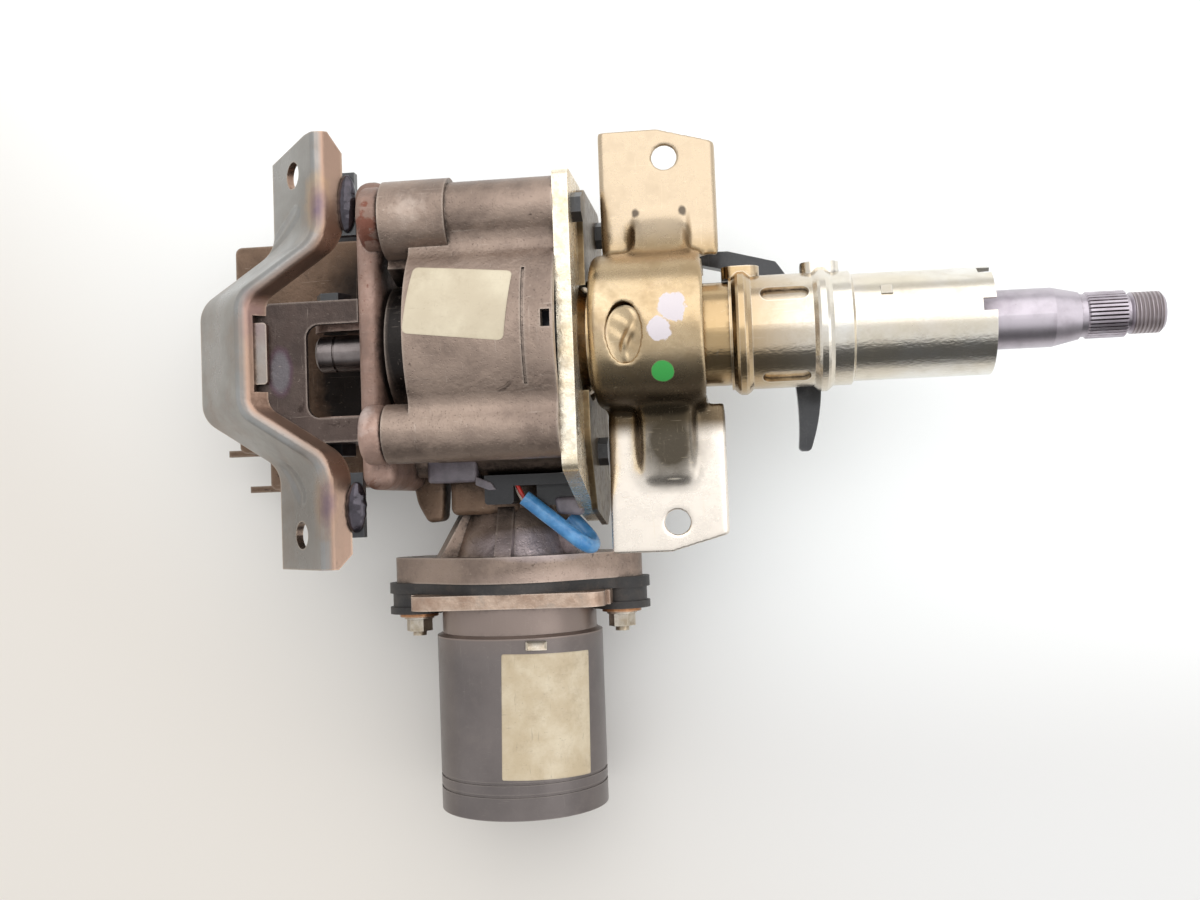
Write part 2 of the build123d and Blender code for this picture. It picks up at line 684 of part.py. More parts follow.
with BuildPart() as worm_wheel:
    wheel_face_x = motor_x - face_width / 2
    twist = degrees(face_width * lead / (2 * pi * worm_pitch_r) / wheel_pitch_r)
    with BuildSketch(across(wheel_face_x)) as gear:
        with BuildLine():
            corners = []
            for tooth in range(wheel_teeth):
                turn = 2 * pi * (tooth + 0.5) / wheel_teeth - radians(twist) / 2
                corners += tooth_corners(turn)
            Polyline(*corners, close=True)
        make_face()
    add(
        Solid.extrude_linear_with_rotation(
            gear.sketch.faces()[0],
            (wheel_face_x, 0, axis_z),
            (face_width, 0, 0),
            twist,
        )
    )
    ring(wheel_face_x - 1, wheel_face_x + face_width + 1, hub_r, 0, mode=Mode.SUBTRACT)

with BuildPart() as wheel_hub:
    turned(
        [
            (motor_x - 9 + seat, 12 + seat), (right_bearing_x - 3, 12 + seat),
            (right_bearing_x - 3, 18), (motor_x + 7, hub_r - seat),
            (motor_x - 7, hub_r - seat), (motor_x - 9 + seat, 18),
        ]
    )

# Worm: two-lobed section twisted along the motor axis
worm_len = 36.0
worm_root_r = worm_pitch_r - dedendum
worm_tip_r = worm_pitch_r + addendum


def lobe(turn):
    # Points of one thread's section about the worm axis, from root to tip and back.
    points = []
    for side in (-1, 1):
        steps = range(5) if side < 0 else range(4, -1, -1)
        for step in steps:
            height = -dedendum + (addendum + dedendum) * step / 4
            width = half_tooth - height * slope
            angle = turn + side * 2 * pi * width / lead
            radius = worm_pitch_r + height
            points.append((radius * sin(angle), radius * cos(angle)))
    return points


with BuildPart() as worm:
    start_y = -worm_len / 2
    start_turn = 2 * pi * start_y / lead
    with BuildSketch(motor_cut(start_y)) as section:
        with BuildLine():
            first, second = lobe(start_turn), lobe(start_turn + pi)
            for here, there, mid_turn in (
                (first, second, start_turn + pi / 2),
                (second, first, start_turn + 3 * pi / 2),
            ):
                Spline(*here[:5])
                ThreePointArc(
                    here[4],
                    (worm_tip_r * sin(mid_turn - pi / 2), worm_tip_r * cos(mid_turn - pi / 2)),
                    here[5],
                )
                Spline(*here[5:])
                ThreePointArc(
                    here[9],
                    (worm_root_r * sin(mid_turn), worm_root_r * cos(mid_turn)),
                    there[0],
                )
        make_face()
    add(
        Solid.extrude_linear_with_rotation(
            section.sketch.faces()[0],
            (motor_x, start_y, motor_z),
            (0, worm_len, 0),
            360 * worm_len / lead,
        )
    )
    motor_ring(-45.5, -worm_len / 2 + 0.5, 5.4, 0)
    motor_ring(worm_len / 2 - 0.5, 25, 5.4, 0)
    motor_ring(25, 33, worm_bearing[0], 0)
    motor_ring(-73, -45, worm_bearing[0], 0)

worm_bearing_places = (25.0, -52.5)
with BuildPart() as worm_bearing_outers:
    for place in worm_bearing_places:
        bearing_outer(place, worm_bearing, motor_side, motor_axis)
with BuildPart() as worm_bearing_inners:
    for place in worm_bearing_places:
        bearing_inner(place, worm_bearing, motor_side, motor_axis)

# Coupling: two jaws with a rubber star between them
with BuildPart() as coupling:
    motor_ring(-74, -57, 9, worm_bearing[0] + seat)
    motor_ring(-90, -76, 9, 4 + seat)
    motor_ring(-76, -74, 15, worm_bearing[0] + seat)

# Torque sensor
with BuildPart() as sensor_coil:
    ring(output_end_x - 2, plate_x - seat, 34, 17)
with BuildPart() as sensor_rotor:
    ring(output_end_x + 0.7, plate_x - 1, 15, input_r - 1 + seat)
with BuildPart() as sensor_sleeve:
    ring(output_end_x - 3, output_end_x, 15, right_bearing[0] + seat)

# Jacket plate and the thinner plate behind it
with BuildPart() as jacket_plate:
    with BuildSketch(across(plate_x)) as face:
        with BuildLine():
            Polyline(
                (62, 36), (63, 0), (60, -48), (-62, -50), (-73, -38), (-70, -20), (-52, 35),
                close=True,
            )
        make_face()
        fillet(face.vertices(), 5)
        Circle(12, mode=Mode.SUBTRACT)
        for boss_y, boss_z, boss_r in housing_bosses:
            with Locations((boss_y, boss_z)):
                Circle(bolt_r + seat, mode=Mode.SUBTRACT)
    extrude(face.sketch, amount=plate_t)

with BuildPart() as backing_plate:
    plate_face_x = plate_x + plate_t
    with BuildSketch(across(plate_face_x)) as face:
        with BuildLine():
            Polyline(
                (60, 12), (61, -44), (50, -54), (-66, -54), (-75, -40), (-68, -4), (-40, 12),
                close=True,
            )
        make_face()
        fillet(face.vertices(), 7)
        Circle(lower_tube_r + 3.5, mode=Mode.SUBTRACT)
    extrude(face.sketch, amount=back_x1 - plate_face_x)
    with BuildSketch(across(plate_face_x - 0.01)) as dish:
        with BuildLine():
            Polyline((57, 9), (58, -42), (48, -51), (-64, -51), (-72, -39), (-65, -6), (-40, 9), close=True)
        make_face()
        fillet(dish.vertices(), 5)
        Circle(lower_tube_r + 6, mode=Mode.SUBTRACT)
    extrude(dish.sketch, amount=back_x1 - plate_face_x - 2, mode=Mode.SUBTRACT)
    for boss_y, boss_z, boss_r in housing_bosses[2:]:
        disc(across(plate_face_x), (boss_y, boss_z), bolt_r + 3, back_x1 - plate_face_x)
        disc(across(plate_face_x - 1), (boss_y, boss_z), bolt_r + seat, 20, Mode.SUBTRACT)

with BuildPart() as housing_bolts:
    bolt_ends = (plate_face_x, plate_face_x - 1, back_x1, back_x1)
    for (boss_y, boss_z, boss_r), end_x in zip(housing_bosses, bolt_ends):
        disc(across(casting_x0 + 4), (boss_y, boss_z), bolt_r, end_x - casting_x0 - 4)
        if end_x >= plate_face_x:
            hexagon(across(end_x), (boss_y, boss_z), 10, 4)

# Jacket tubes
with BuildPart() as lower_jacket:
    inner = lower_tube_r - lower_tube_wall
    turned(
        [
            (plate_face_x, inner), (plate_face_x, lower_tube_r + 2.6),
            (plate_face_x + 3, lower_tube_r), (lower_tube_end, lower_tube_r), (lower_tube_end, inner),
        ]
    )

with BuildPart() as upper_jacket:
    sleeve_in = lower_tube_r + seat
    bead_in = bead_r - tube_wall
    tube_in = upper_tube_r - tube_wall
    outline = [(sleeve_x, sleeve_in), (sleeve_x, sleeve_r)]
    inside = [(sleeve_x + 1, sleeve_in)]
    for bead_x in (sleeve_x + 1, second_bead_x):
        outline += [
            (bead_x, sleeve_r), (bead_x + 1.6, bead_r - 0.6), (bead_x + 2.6, bead_r),
            (bead_x + bead_len - 2.6, bead_r), (bead_x + bead_len - 1.6, bead_r - 0.6),
            (bead_x + bead_len, sleeve_r),
        ]
        inside += [(bead_x + 1.5, sleeve_in), (bead_x + 2.8, bead_in), (bead_x + bead_len - 2.8, bead_in),
                   (bead_x + bead_len - 1.5, sleeve_in)]
    outline += [(sleeve_end, sleeve_r), (sleeve_end + 1, upper_tube_r), (tube_end, upper_tube_r)]
    inside += [(sleeve_end - 3, sleeve_in), (sleeve_end - 1, tube_in), (tube_end, tube_in)]
    turned(outline + inside[::-1])
    for cap_x in (sleeve_x + 1 + bead_len / 2, second_bead_x + bead_len / 2):
        with BuildSketch(Plane(origin=(cap_x, sleeve_r - 1.5, axis_z), z_dir=(0, 1, 0))) as cap:
            RectangleRounded(2 * cap_r, 2 * cap_r, 5)
        extrude(cap.sketch, amount=cap_out - sleeve_r + 1.5)
    for turn in slot_angles:
        with BuildSketch(round_column(turn)) as slot:
            with Locations(((slot_x0 + slot_x1) / 2, 0)):
                SlotOverall(slot_x1 - slot_x0, slot_width)
        extrude(slot.sketch, amount=30, mode=Mode.SUBTRACT)
    for turn in (80, 30, 260, 190):
        with BuildSketch(round_column(turn)) as notch:
            with Locations((tube_end, 0)):
                Rectangle(10, 5)
        extrude(notch.sketch, amount=30, mode=Mode.SUBTRACT)
    # Square stake mark on the tube
    with BuildSketch(round_column(pip_turn).offset(upper_tube_r - 0.6)) as pip:
        with Locations((pip_x, 0)):
            Rectangle(pip_side, pip_side)
    extrude(pip.sketch, amount=1.1, taper=10)

# Clamp bracket on the jacket, with the clamp bolt, cam, nut and the tilt lever
clamp_low = plate_gap_low + side_t + free
clamp_high = plate_gap_high - side_t - free
with BuildPart() as jacket_bracket:
    web_z = clamp_z - 10
    for y0, y1 in ((clamp_low, -lower_tube_r), (clamp_high - 3, clamp_high)):
        with BuildSketch(along(y1)) as wall:
            with BuildLine():
                Polyline((-20, 2), (8, 2), (8, web_z), (-20, web_z), close=True)
            make_face()
            with Locations((clamp_x, clamp_z)):
                Circle(clamp_r + seat, mode=Mode.SUBTRACT)
        extrude(wall.sketch, amount=y1 - y0)
    with BuildSketch(along(clamp_high)) as web:
        with Locations((-6, web_z - 1)):
            Rectangle(28, 2.6)
    extrude(web.sketch, amount=clamp_high - clamp_low)
    with BuildSketch(along(clamp_high - 1)) as shelf:
        with Locations((-6, 0.5)):
            Rectangle(28, 3)
    extrude(shelf.sketch, amount=clamp_high - 1 - lower_tube_r + 1)
    ring(-60, 60, lower_tube_r + seat, 0, mode=Mode.SUBTRACT)

cam_y = plate_gap_high + free
lever_y = cam_y + 2.5 + free
with BuildPart() as clamp_bolt:
    disc(along(lever_y + 10), (clamp_x, clamp_z), clamp_r, lever_y + 10 - plate_gap_low + 3)
    hexagon(along(plate_gap_low - free), (clamp_x, clamp_z), 15, 5)
with BuildPart() as clamp_cam:
    disc(along(cam_y + 2.5), (clamp_x, clamp_z), 10, 2.5)
    disc(along(cam_y + 4), (clamp_x, clamp_z), clamp_r + seat, 10, Mode.SUBTRACT)
with BuildPart() as clamp_nut:
    hexagon(along(lever_y + 13), (clamp_x, clamp_z), 15, 7 - free)
    disc(along(lever_y + 14), (clamp_x, clamp_z), clamp_r + seat, 20, Mode.SUBTRACT)

lever_z, lever_t = -41.5, 7.0
with BuildPart() as tilt_lever:
    with BuildSketch(level(lever_z)) as blade:
        with BuildLine():
            Polyline(
                (36, 27), (20, lever_y - 2), (12, lever_y), (clamp_x - 9, lever_y),
                (clamp_x - 9, lever_y + 5.7), (24, lever_y + 5.2), (44, 34.5),
            )
            ThreePointArc((44, 34.5), (60.5, -8), (55.5, -46.5))
            Line((55.5, -46.5), (50.5, -46.5))
            ThreePointArc((50.5, -46.5), (49.5, -12), (36, 27))
        make_face()
        fillet(blade.vertices().filter_by(lambda v: v.X > 15), 1.8)
    extrude(blade.sketch, amount=lever_t)
    disc(along(lever_y + 5.7), (clamp_x, clamp_z), 10, 5.7)
    disc(along(lever_y + 8), (clamp_x, clamp_z), clamp_r + running, 12, Mode.SUBTRACT)

# Motor: rubber damper, steel plate, can, studs and nuts
flange_face_y = cone_y1 - flange_t
plate_face_y = flange_face_y - rubber_t
collar_y = plate_face_y - steel_t
can_y = collar_y - 11
with BuildPart() as rubber_damper:
    with BuildSketch(motor_cut(flange_face_y)) as pad:
        Circle(flange_r - 1)
        with Locations((-stud_pitch / 2, 0), (stud_pitch / 2, 0)):
            Circle(flange_lug_r)
        make_hull()
        Circle(motor_bore_r + 8, mode=Mode.SUBTRACT)
    extrude(pad.sketch, amount=rubber_t)
    for side in (-1, 1):
        place = (side * stud_pitch / 2, 0)
        disc(motor_cut(flange_face_y), place, damper_r, rubber_t)
        disc(motor_cut(flange_face_y), place, damper_waist_r, damper_len)
        disc(motor_cut(collar_y), place, damper_r, damper_len - rubber_t - steel_t)
        disc(motor_cut(flange_face_y + 1), place, stud_r + seat, 20, Mode.SUBTRACT)
    motor_ring(can_y, plate_face_y - 1, collar_r + free, 0, Mode.SUBTRACT)
with BuildPart() as motor_plate:
    with BuildSketch(motor_cut(plate_face_y)) as plate:
        RectangleRounded(*motor_plate_size, 8)
        Rectangle(motor_plate_size[0] + 3, 44)
        with Locations((-stud_pitch / 2, 0), (stud_pitch / 2, 0)):
            Circle(damper_waist_r + seat, mode=Mode.SUBTRACT)
    extrude(plate.sketch, amount=steel_t)
    disc(motor_cut(plate_face_y - steel_t), (0, 0), worm_bearing[1] + 4, 4)
    disc(motor_cut(plate_face_y - 2.5), (0, 0), worm_bearing[1], 20, Mode.SUBTRACT)
    disc(motor_cut(plate_face_y + 1), (0, 0), 7, 20, Mode.SUBTRACT)
with BuildPart() as motor_can:
    rear = motor_end_y + can_wall
    motor_ring(rear - 0.5, rear + free + worm_bearing[2], worm_bearing[1] + 3, worm_bearing[1])
    with BuildSketch(motor_side) as wall:
        with BuildLine():
            Polyline(
                (collar_y, collar_r), (can_y, collar_r), (can_y - 1.2, can_r), (motor_end_y, can_r),
                (motor_end_y, 0), (rear, 0), (rear, can_r - can_wall), (can_y - 2, can_r - can_wall),
                (can_y, collar_r - can_wall), (collar_y, collar_r - can_wall), close=True,
            )
        make_face()
        corners = wall.vertices().filter_by(lambda v: v.X < rear + 1 and v.Y > 1).sort_by(Axis.Y)
        fillet(corners[0], can_round - can_wall)
        fillet(corners[-1], can_round)
    revolve(wall.sketch, axis=motor_axis)
    for groove_y in crimp_places:
        motor_ring(groove_y - crimp_width, groove_y, can_r + 1, can_r - crimp_depth, Mode.SUBTRACT)
with BuildPart() as motor_studs:
    for side in (-1, 1):
        disc(motor_cut(cone_y1 - 1), (side * stud_pitch / 2, 0), stud_r, stud_len)
with BuildPart() as motor_nuts:
    for side in (-1, 1):
        place = (side * stud_pitch / 2, 0)
        disc(motor_cut(flange_face_y - damper_len), place, 8.5, 1.6)
        disc(motor_cut(flange_face_y - damper_len - 1.6), place, 6.5, 1)
        hexagon(motor_cut(flange_face_y - damper_len - 2.6), place, 10, 5.4)
        disc(motor_cut(flange_face_y), place, stud_r + seat, 30, Mode.SUBTRACT)
with BuildPart() as brush_carrier:
    motor_ring(collar_y - 10, collar_y - 5, collar_r - can_wall - seat, 15)
    with BuildSketch(motor_cut(collar_y - 10)) as brushes:
        with Locations((18.5, 0), (-18.5, 0)):
            Rectangle(11, 7)
    extrude(brushes.sketch, amount=10)
with BuildPart() as motor_magnets:
    with BuildSketch(motor_cut(can_y - 14)) as arcs:
        Circle(can_r - can_wall - seat)
        Circle(rotor_r + 1, mode=Mode.SUBTRACT)
        Rectangle(100, 12, mode=Mode.SUBTRACT)
    extrude(arcs.sketch, amount=48)
with BuildPart() as motor_shaft:
    motor_ring(rear + 2 * free, -76.5, 4, 0)
motor_bearing_places = (rear + free, plate_face_y - 2.5 - worm_bearing[2])
with BuildPart() as motor_bearing_outers:
    for place in motor_bearing_places:
        bearing_outer(place, worm_bearing, motor_side, motor_axis)
with BuildPart() as motor_bearing_inners:
    for place in motor_bearing_places:
        bearing_inner(place, worm_bearing, motor_side, motor_axis)
with BuildPart() as armature:
    with BuildSketch(motor_cut(can_y - 16)) as core:
        Circle(rotor_r)
        with PolarLocations(rotor_r, 12):
            Rectangle(8, 2, mode=Mode.SUBTRACT)
        Circle(4 + seat, mode=Mode.SUBTRACT)
    extrude(core.sketch, amount=44)
with BuildPart() as commutator:
    motor_ring(can_y - 14, collar_y - 6, 12.5, 4 + seat)

# Control unit: cast shell, cover, circuit board, screws and two sockets
low_x, high_x, low_y, high_y = ecu
shell_t, cover_t, post_r, step_x, step_y = 3.0, 2.0, 5.0, 14.0, 17.0


def unit_outline(inset):
    # Plan of the control unit, with its stepped corner.
    points = [
        (low_x + inset, high_y - inset), (high_x - inset, high_y - inset),
        (high_x - inset, low_y + inset), (low_x + step_x + inset, low_y + inset),
        (low_x + step_x + inset, low_y + step_y + inset), (low_x + inset, low_y + step_y + inset),
    ]
    with BuildSketch() as outline:
        with BuildLine():
            Polyline(*points, close=True)
        make_face()
        fillet(outline.vertices(), 3)
    return outline.sketch


posts = (
    (low_x + 6, high_y - 6), (high_x - 6, high_y - 6), (high_x - 6, low_y + 6),
    (low_x + step_x + 6, low_y + 6), (low_x + 6, low_y + step_y + 6), (-148.0, low_y + 6),
)
cover_z = ecu_top - ecu_t + cover_t
socket_places, socket_width, socket_height, socket_wall = (-150.0, -127.5), 19.0, 12.0, 1.5
with BuildPart() as ecu_housing:
    extrude(level(ecu_top) * unit_outline(0), amount=-(ecu_top - cover_z))
    extrude(level(ecu_top - shell_t) * unit_outline(shell_t), amount=-ecu_t, mode=Mode.SUBTRACT)
    for place in posts:
        disc(level(ecu_top - 1), place, post_r, cover_z - ecu_top + 1)
        disc(level(cover_z + 12), place, 1.6, -20, Mode.SUBTRACT)
    with BuildSketch(level(cover_z + 3)) as ledge:
        with Locations((low_x, low_y + step_y + 1), (low_x + 10, low_y + 1)):
            Rectangle(26, 3)
    extrude(ledge.sketch, amount=3)
    with BuildSketch(along(high_y + 1)) as socket_holes:
        with Locations(*((place, (ecu_top + cover_z) / 2) for place in socket_places)):
            Rectangle(socket_width, socket_height)
    extrude(socket_holes.sketch, amount=12, mode=Mode.SUBTRACT)
with BuildPart() as ecu_cover:
    extrude(level(cover_z) * unit_outline(0), amount=-cover_t)
    for place in posts:
        disc(level(cover_z + 1), place, 1.7, -20, Mode.SUBTRACT)
with BuildPart() as ecu_board:
    extrude(level(cover_z + 3.6) * unit_outline(shell_t + 0.5), amount=-1.6)
    for place in posts:
        disc(level(cover_z + 8), place, post_r + free, -20, Mode.SUBTRACT)
    with BuildSketch(level(cover_z + 3.6)) as chips:
        with Locations((-150, 0), (-125, 20), (-165, 30)):
            Rectangle(16, 12)
    extrude(chips.sketch, amount=4)
with BuildPart() as ecu_screws:
    for place in posts:
        disc(level(cover_z - cover_t), place, 3, -2)
        disc(level(cover_z - cover_t), place, 1.55, 10)
with BuildPart() as ecu_sockets:
    for place in socket_places:
        with BuildSketch(along(high_y + 7)) as shroud:
            with Locations((place, (ecu_top + cover_z) / 2)):
                Rectangle(socket_width - 2 * seat, socket_height - 2 * seat)
                Rectangle(
                    socket_width - 2 * socket_wall, socket_height - 2 * socket_wall,
                    mode=Mode.SUBTRACT,
                )
        extrude(shroud.sketch, amount=12)
        with BuildSketch(along(high_y - 3)) as floor:
            with Locations((place, (ecu_top + cover_z) / 2)):
                Rectangle(socket_width - 1, socket_height - 1)
        extrude(floor.sketch, amount=2)

# Sensor plug on the housing, its two leads and the blue sleeve
plug_x0, plug_x1, plug_y, plug_back = -79.0, -41.0, -52.3, 4.5
plug_len, plug_t, plug_top = 12.0, 14.0, -7.0
lead_start, lead_len, lead_r, lead_pitch = (-63.5, plug_y - plug_back, -9.0), 5.5, 0.9, 2.4
sleeve_r, sleeve_bend = 3.2, 5.2
with BuildPart() as sensor_connector:
    gap_x0, gap_x1 = lead_start[0] - sleeve_r - free, lead_start[0] + sleeve_r + 2
    for x0, x1, deep, top in (
        (plug_x0, gap_x0, plug_len, plug_top),
        (plug_x0, plug_x1, plug_back, plug_top),
        (gap_x1, plug_x1, plug_len + 1, lead_start[2] - sleeve_r - 1),
    ):
        with BuildSketch(level(top)) as block:
            with Locations((x0, plug_y)):
                Rectangle(x1 - x0, deep, align=(Align.MIN, Align.MAX))
            fillet(block.vertices().group_by(Axis.Y)[0], 1.5)
        extrude(block.sketch, amount=plug_top - plug_t - top)
with BuildPart() as lead_wires:
    for shift in (-lead_pitch / 2, lead_pitch / 2):
        start = Vector(lead_start[0] + shift, lead_start[1], lead_start[2] + axis_z)
        with BuildLine() as wire:
            Line(start, start + Vector(0, -lead_len, 0))
        with BuildSketch(Plane(origin=wire.line @ 0, z_dir=wire.line % 0)):
            Circle(lead_r)
        sweep(path=wire.line)
with BuildPart() as lead_sleeve:
    # Runs slanting away from the plug, then turns back under the housing
    start = Vector(lead_start[0], lead_start[1] - lead_len, lead_start[2] + axis_z)
    with BuildLine() as route:
        FilletPolyline(
            start, start + Vector(0, -3.5, 0), start + Vector(28, -22, -4),
            start + Vector(25, -17, -15), start + Vector(17, -8, -16), radius=sleeve_bend,
        )
    with BuildSketch(Plane(origin=route.line @ 0, z_dir=route.line % 0)):
        Circle(sleeve_r)
    sweep(path=route.line)

write_list = dict(
    lower_bracket=lower_bracket, channel_bracket=channel_bracket,
    ear_backing_plates=ear_backing_plates, pivot_bolts=pivot_bolts, upper_bracket=upper_bracket,
    clamp_side_plates=clamp_side_plates, pivot_casting=pivot_casting, shaft_seal=shaft_seal,
    gear_housing=gear_housing, input_shaft=input_shaft, wheel_shaft=wheel_shaft,
    output_shaft=output_shaft, torsion_bar=torsion_bar, output_bearing_outers=output_bearing_outers,
    output_bearing_inners=output_bearing_inners, input_bearing_outer=input_bearing_outer,
    input_bearing_inner=input_bearing_inner, upper_bearing_outer=upper_bearing_outer,
    upper_bearing_inner=upper_bearing_inner, bearing_carrier=bearing_carrier, worm_wheel=worm_wheel,
    wheel_hub=wheel_hub, worm=worm, worm_bearing_outers=worm_bearing_outers,
    worm_bearing_inners=worm_bearing_inners, coupling=coupling, sensor_coil=sensor_coil,
    sensor_rotor=sensor_rotor, sensor_sleeve=sensor_sleeve, jacket_plate=jacket_plate,
    backing_plate=backing_plate, housing_bolts=housing_bolts, lower_jacket=lower_jacket,
    upper_jacket=upper_jacket, jacket_bracket=jacket_bracket, clamp_bolt=clamp_bolt,
    clamp_cam=clamp_cam, clamp_nut=clamp_nut, tilt_lever=tilt_lever, rubber_damper=rubber_damper,
    motor_plate=motor_plate, motor_can=motor_can, motor_studs=motor_studs, motor_nuts=motor_nuts,
    brush_carrier=brush_carrier, motor_magnets=motor_magnets, motor_shaft=motor_shaft,
    armature=armature, commutator=commutator, ecu_housing=ecu_housing, ecu_cover=ecu_cover,
    ecu_board=ecu_board, ecu_screws=ecu_screws, ecu_sockets=ecu_sockets,
    motor_bearing_outers=motor_bearing_outers, motor_bearing_inners=motor_bearing_inners,
    sensor_connector=sensor_connector, lead_wires=lead_wires, lead_sleeve=lead_sleeve,
)
for label, piece in write_list.items():
    write(piece.part, label)
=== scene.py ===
import json
import math

import bmesh
import bpy
from mathutils import Matrix, Vector


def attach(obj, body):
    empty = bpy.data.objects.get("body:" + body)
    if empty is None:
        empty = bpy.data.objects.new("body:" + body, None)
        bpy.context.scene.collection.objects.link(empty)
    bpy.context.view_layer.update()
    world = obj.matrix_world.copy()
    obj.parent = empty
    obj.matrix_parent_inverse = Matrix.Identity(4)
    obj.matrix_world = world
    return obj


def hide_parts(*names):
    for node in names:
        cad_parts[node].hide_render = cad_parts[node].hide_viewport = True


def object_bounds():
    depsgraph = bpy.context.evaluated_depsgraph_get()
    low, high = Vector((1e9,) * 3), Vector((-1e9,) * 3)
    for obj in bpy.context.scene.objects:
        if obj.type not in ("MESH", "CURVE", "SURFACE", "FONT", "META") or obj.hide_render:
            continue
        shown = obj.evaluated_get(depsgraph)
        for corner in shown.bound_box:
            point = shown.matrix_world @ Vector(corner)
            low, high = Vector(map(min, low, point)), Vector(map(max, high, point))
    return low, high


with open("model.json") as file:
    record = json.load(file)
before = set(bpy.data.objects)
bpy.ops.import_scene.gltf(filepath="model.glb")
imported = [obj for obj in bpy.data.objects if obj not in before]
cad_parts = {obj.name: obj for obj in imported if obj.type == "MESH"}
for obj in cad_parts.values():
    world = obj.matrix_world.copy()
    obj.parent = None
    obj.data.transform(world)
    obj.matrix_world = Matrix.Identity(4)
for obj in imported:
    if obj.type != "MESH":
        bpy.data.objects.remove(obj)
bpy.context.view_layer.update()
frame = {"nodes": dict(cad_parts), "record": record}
cadNodes = frame["nodes"]
mm = 0.001
columnZ = 4 * mm  # height of the column axis above the bracket ears
motorX, motorZ = -73 * mm, -41 * mm
print("frame loaded:", len(cadNodes), "nodes")


def addNode(tree, kind, inputs=None, **settings):
    node = tree.nodes.new(kind)
    for name, value in settings.items():
        setattr(node, name, value)
    for name, value in (inputs or {}).items():
        socket = node.inputs[name]
        if isinstance(value, bpy.types.NodeSocket):
            tree.links.new(value, socket)
        else:
            socket.default_value = value
    return node


def linear(red, green, blue):
    # picture values 0-255 to the linear colour that the nodes use
    return tuple(((c / 255 + 0.055) / 1.055) ** 2.4 if c > 10 else c / 3295 for c in (red, green, blue)) + (1.0,)


def objectPlace(tree):
    return addNode(tree, "ShaderNodeTexCoord").outputs["Object"]


def noiseOf(tree, place, scale, detail, **more):
    noise = addNode(tree, "ShaderNodeTexNoise", {"Vector": place, "Scale": scale, "Detail": detail, **more})
    return noise.outputs["Fac"]


def ramp(tree, value, low, high, bottom=0.0, top=1.0, kind="LINEAR"):
    # bottom at low and top at high, held beyond them
    return addNode(tree, "ShaderNodeMapRange", {
        "Value": value, "From Min": low, "From Max": high, "To Min": bottom, "To Max": top},
        interpolation_type=kind).outputs["Result"]


def mathOf(tree, kind, first, second, **settings):
    return addNode(tree, "ShaderNodeMath", {0: first, 1: second}, operation=kind, **settings).outputs[0]


def vectorOf(tree, kind, first, second, output="Vector"):
    return addNode(tree, "ShaderNodeVectorMath", {0: first, 1: second}, operation=kind).outputs[output]


groups = {}


def newGroup(name, inputs, outputs=("Mask",)):
    tree = groups[name] = bpy.data.node_groups.new(name, "ShaderNodeTree")
    for label, value in inputs.items():
        kind = "NodeSocketVector" if isinstance(value, tuple) else "NodeSocketFloat"
        tree.interface.new_socket(name=label, in_out="INPUT", socket_type=kind).default_value = value
    for label in outputs:
        tree.interface.new_socket(name=label, in_out="OUTPUT", socket_type="NodeSocketFloat")
    return tree, tree.nodes.new("NodeGroupInput").outputs, tree.nodes.new("NodeGroupOutput").inputs


def buildBlotches():
    # soft patches of tone: Mask runs from 0 to 1 between Low and High of the noise
    tree, start, end = newGroup(
        "blotches", {"Scale": 60.0, "Low": 0.4, "High": 0.6, "Roughness": 0.6, "Distortion": 0.0})
    noise = noiseOf(tree, objectPlace(tree), start["Scale"], 7.0, Roughness=start["Roughness"],
                    Distortion=start["Distortion"])
    tree.links.new(ramp(tree, noise, start["Low"], start["High"], kind="SMOOTHSTEP"), end["Mask"])


def buildPits():
    # small pores and grain of a cast or plated skin: Height, and Pore where a pore is deep
    tree, start, end = newGroup("pits", {"Scale": 900.0, "Size": 0.3, "Grain": 0.4}, ("Height", "Pore"))
    place = objectPlace(tree)
    cells = addNode(tree, "ShaderNodeTexVoronoi", {"Vector": place, "Scale": start["Scale"], "Randomness": 1.0})
    pore = ramp(tree, cells.outputs["Distance"], start["Size"], 0.0)
    fine = mathOf(tree, "MULTIPLY", noiseOf(tree, place, start["Scale"], 4.0), start["Grain"])
    tree.links.new(mathOf(tree, "SUBTRACT", fine, pore), end["Height"])
    tree.links.new(pore, end["Pore"])


def buildEdges():
    # bright or dark lines along the corners of a piece
    tree, start, end = newGroup("edges", {"Radius": 0.0012})
    rounded = addNode(tree, "ShaderNodeBevel", {"Radius": start["Radius"]}, samples=4)
    flat = addNode(tree, "ShaderNodeNewGeometry")
    turn = vectorOf(tree, "DOT_PRODUCT", rounded.outputs["Normal"], flat.outputs["Normal"], "Value")
    tree.links.new(ramp(tree, turn, 0.995, 0.86), end["Mask"])


def buildSpot():
    # a patch with a ragged edge around one place: 1 inside, 0 outside
    tree, start, end = newGroup("spot", {
        "Place": (0.0, 0.0, 0.0), "Stretch": (1.0, 1.0, 1.0), "Size": 0.01, "Ragged": 0.2, "Soft": 0.1})
    here = objectPlace(tree)
    away = vectorOf(tree, "SUBTRACT", here, start["Place"])
    shaped = vectorOf(tree, "MULTIPLY", away, start["Stretch"])
    distance = addNode(tree, "ShaderNodeVectorMath", {0: shaped}, operation="LENGTH").outputs["Value"]
    share = mathOf(tree, "DIVIDE", distance, start["Size"])
    centred = mathOf(tree, "SUBTRACT", noiseOf(tree, here, 260.0, 5.0), 0.5)
    edge = mathOf(tree, "ADD", share, mathOf(tree, "MULTIPLY", centred, start["Ragged"]))
    tree.links.new(ramp(tree, edge, 1.0, mathOf(tree, "SUBTRACT", 1.0, start["Soft"])), end["Mask"])


